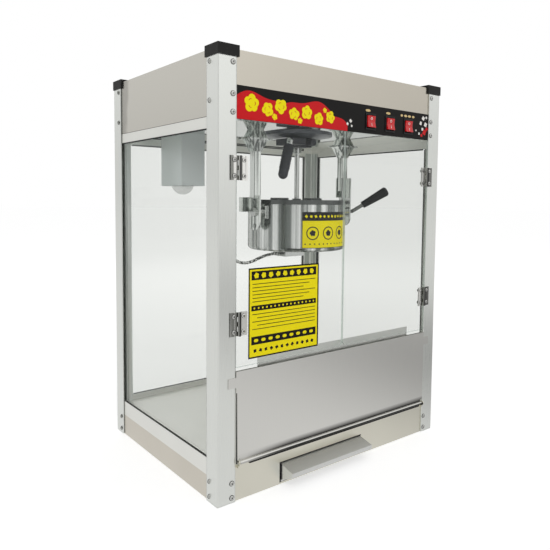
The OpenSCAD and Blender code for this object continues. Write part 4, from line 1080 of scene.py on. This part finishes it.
# The lead's middle line, from the box under the kettle to the gland in the ceiling.
LEAD_Y = -68
_, (_, _, CEILING) = box_mm("lead_socket")
LEAD = [(x, LEAD_Y, KETTLE_FOOT + z) for x, z in (
    (-50.4, -8), (-64, -8.5), (-80, -11), (-98, -16), (-113, -21), (-128, -23), (-143, -21),
    (-157, -14), (-170, -3), (-181, 12),
)] + [(x, LEAD_Y, CEILING - z) for x, z in (
    (-190, 199), (-197, 174), (-202, 144), (-205, 109), (-206, 73), (-206, 41), (-206, 16),
)]
LEAD_R = 3.0
WIRES, WIRE_R, WIRE_PITCH = 6, 0.35, 26.0  # wires each way, their radius, and the length of one turn
WEAVE = 0.08  # how far a wire rises and sinks where it crosses others


def smooth_path(points, n):
    """Catmull-Rom points between the given ones."""
    out, last = [], len(points) - 1
    for i in range(last):
        a, b, c, d = (Vector(points[j]) for j in (max(i - 1, 0), i, i + 1, min(i + 2, last)))
        for k in range(n):
            t = k / n
            out.append(0.5 * (2 * b + (c - a) * t + (2 * a - 5 * b + 4 * c - d) * t * t
                              + (3 * b - a - 3 * c + d) * t * t * t))
    out.append(Vector(points[-1]))
    return out


def even_path(points, step):
    """The same line with points every step millimetres."""
    out, left = [points[0]], step
    for a, b in zip(points, points[1:]):
        span, at = (b - a).length, 0.0
        while span - at >= left:
            at += left
            out.append(a.lerp(b, at / span))
            left = step
        left -= span - at
    out.append(points[-1])
    return out


def direction(points, i):
    """The way that a line runs at its point i."""
    return (points[min(i + 1, len(points) - 1)] - points[max(i - 1, 0)]).normalized()


def strand(bm, centres, r, sides):
    """A closed tube along points."""
    rings = []
    angles = [math.tau * k / sides for k in range(sides)]
    across = direction(centres, 0).orthogonal().normalized()
    for i, c in enumerate(centres):
        along = direction(centres, i)
        across = (across - along * across.dot(along)).normalized()
        up = along.cross(across)
        rings.append([
            bm.verts.new((c + r * (math.cos(a) * across + math.sin(a) * up)) * MM) for a in angles
        ])
    for ring, after in zip(rings, rings[1:]):
        band(bm, ring, after)
    bm.faces.new(rings[0][::-1])
    bm.faces.new(rings[-1])


def wound_wire(path, way, first):
    """Points of one wire wound round the lead, to the right or left, from its first angle."""
    line, run = [], 0.0
    for i, c in enumerate(path):
        along = direction(path, i)
        side = Vector((along.z, 0, -along.x)).normalized()
        if i:
            run += (path[i] - path[i - 1]).length
        turns = math.tau * run / WIRE_PITCH
        a = way * turns + first
        r = LEAD_R - WIRE_R - WEAVE + WEAVE * math.sin(turns * WIRES + (0 if way > 0 else math.pi))
        line.append(c + r * (math.cos(a) * side + math.sin(a) * Vector((0, 1, 0))))
    return line


def make_lead():
    """A braided lead: a core with two sets of strands wound over it, from the kettle to the ceiling."""
    path = even_path(smooth_path(LEAD, 12), 1.6)
    length = sum((b - a).length for a, b in zip(path, path[1:]))
    bm = bmesh.new()
    strand(bm, path, LEAD_R - 0.4, 12)
    for way in (-1, 1):
        for w in range(WIRES):
            strand(bm, wound_wire(path, way, math.tau * w / WIRES), WIRE_R, 5)
    bmesh.ops.recalc_face_normals(bm, faces=bm.faces)
    o = new_object("braided_lead", bm, LOOKS["braid"], smooth=True)
    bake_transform(o)
    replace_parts(o, "kettle_lead")


make_lead()

# ---- studio

# What the floor adds to its own light as a background, near the object and far from it (distances in m).
NEAR_GLOW, FAR_GLOW, GLOW_FROM, GLOW_TO = 0.47, 0.59, 0.6, 3.5
# How bright metal sees the floor: pale, but duller over a stretch to the right (places in m).
FLOOR_PALE, FLOOR_DULL, DULL_FROM, DULL_FULL, DULL_UNTIL, DULL_GONE = 0.76, 0.34, 0.0, 0.8, 1.0, 1.8
# Plain light of the world, and how bright metal sees it from the horizon up.
WORLD_LIGHT = 0.5
HORIZON_SEEN, UPPER_SEEN, UPPER_FROM = 1.0, 1.22, 0.24
# What dulls the world in metal: a direction, the cosines between which the strength changes, and the
# strength before and after. It is duller behind, to the right and round the camera.
DULL_SIDES = (
    ((0.30, -0.95), -0.5, 0.9, 0.66, 0.84),
    ((0.93, -0.36), 0.70, 1.04, 1.0, 0.74),
    ((-0.62, -0.78), 0.80, 1.0, 1.0, 0.5),
)
# Lamps: name, place, width (m), power (W), and whether metal sees it.
LAMPS = (
    ("key", (-1.7, -2.2, 2.3), 2.4, 34, False),
    ("fill", (2.5, -1.5, 1.3), 2.2, 12, False),
    ("rim", (0.4, 2.4, 2.4), 2.2, 14, True),
)
LAMPS_AIM = Vector((0, 0, 0.38))
FLOOR_HALF, FLOOR_DROP = 30.0, 0.0004


def seen_directly(m):
    """1 where a ray comes from the camera, or through glass, and 0 elsewhere."""
    rays = m.node("ShaderNodeLightPath").outputs
    return m.math("MAXIMUM", rays["Is Camera Ray"], rays["Is Transmission Ray"])


def seen_in_metal(m):
    return m.node("ShaderNodeLightPath").outputs["Is Glossy Ray"]


def make_floor():
    """Plain pale floor: white as a background, and with a dull stretch to the right in metal."""
    m = Material("studio_floor")
    card = m.node("ShaderNodeBsdfDiffuse")
    grain = m.noise(m.coords(), 60, 2)
    m.link(m.mix(grain, (0.80, 0.80, 0.80, 1), (0.82, 0.82, 0.82, 1)), card.inputs["Color"])
    reach = m.node("ShaderNodeVectorMath", operation="LENGTH")
    m.link(m.coords(), reach.inputs[0])
    glow_here = m.span(reach.outputs["Value"], GLOW_FROM, GLOW_TO, NEAR_GLOW, FAR_GLOW, smooth=True)
    glow = m.node("ShaderNodeEmission")
    m.link(m.math("MULTIPLY", seen_directly(m), glow_here), glow.inputs["Strength"])
    plain = m.node("ShaderNodeAddShader")
    m.link(card.outputs[0], plain.inputs[0])
    m.link(glow.outputs[0], plain.inputs[1])
    x = m.parts(m.coords())[0]
    near = m.span(x, DULL_FROM, DULL_FULL, FLOOR_PALE, FLOOR_DULL, smooth=True)
    distant = m.span(x, DULL_UNTIL, DULL_GONE, FLOOR_DULL, FLOOR_PALE, smooth=True)
    mirrored = m.node("ShaderNodeEmission")
    m.link(m.math("MAXIMUM", near, distant), mirrored.inputs["Strength"])
    bm = bmesh.new()
    bmesh.ops.create_grid(bm, x_segments=1, y_segments=1, size=FLOOR_HALF)
    floor = new_object("studio_floor", bm, m.done(m.either(seen_in_metal(m), plain, mirrored)))
    floor.location.z = -FLOOR_DROP


def make_world():
    """White studio, which metal sees greyer at the horizon and on its dull sides."""
    world = bpy.data.worlds.new("studio")
    world.use_nodes = True
    bpy.context.scene.world = world
    m = Nodes(world.node_tree, "ShaderNodeOutputWorld")
    way = m.node("ShaderNodeTexCoord").outputs["Generated"]
    mirrored = m.span(m.parts(way)[2], 0.0, UPPER_FROM, HORIZON_SEEN, UPPER_SEEN, smooth=True)
    for side, start, end, before, after in DULL_SIDES:
        toward = m.node("ShaderNodeVectorMath", operation="DOT_PRODUCT")
        m.link(way, toward.inputs[0])
        toward.inputs[1].default_value = Vector((*side, 0.0)).normalized()
        strength = m.span(toward.outputs["Value"], start, end, before, after, smooth=True)
        mirrored = m.math("MULTIPLY", mirrored, strength)
    backdrop = seen_directly(m)
    seen = m.node("ShaderNodeBackground")
    m.link(m.math("MAXIMUM", backdrop, mirrored), seen.inputs["Strength"])
    light = m.node("ShaderNodeBackground")
    light.inputs["Strength"].default_value = WORLD_LIGHT
    for background in (seen, light):
        background.inputs["Color"].default_value = WHITE
    m.finish(m.either(m.math("MAXIMUM", backdrop, seen_in_metal(m)), light, seen))


def make_lamp(name, at, size, power, mirrored):
    """A square lamp that looks at the middle of the object."""
    data = bpy.data.lights.new(name, "AREA")
    data.shape = "SQUARE"
    data.size = size
    data.energy = power
    lamp = bpy.data.objects.new(name, data)
    lamp.location = at
    lamp.rotation_euler = (LAMPS_AIM - Vector(at)).to_track_quat("-Z", "Y").to_euler()
    lamp.visible_glossy = mirrored
    bpy.context.scene.collection.objects.link(lamp)


make_floor()
make_world()
for lamp in LAMPS:
    make_lamp(*lamp)
bpy.context.scene.view_settings.view_transform = "Standard"

bpy.context.view_layer.update()
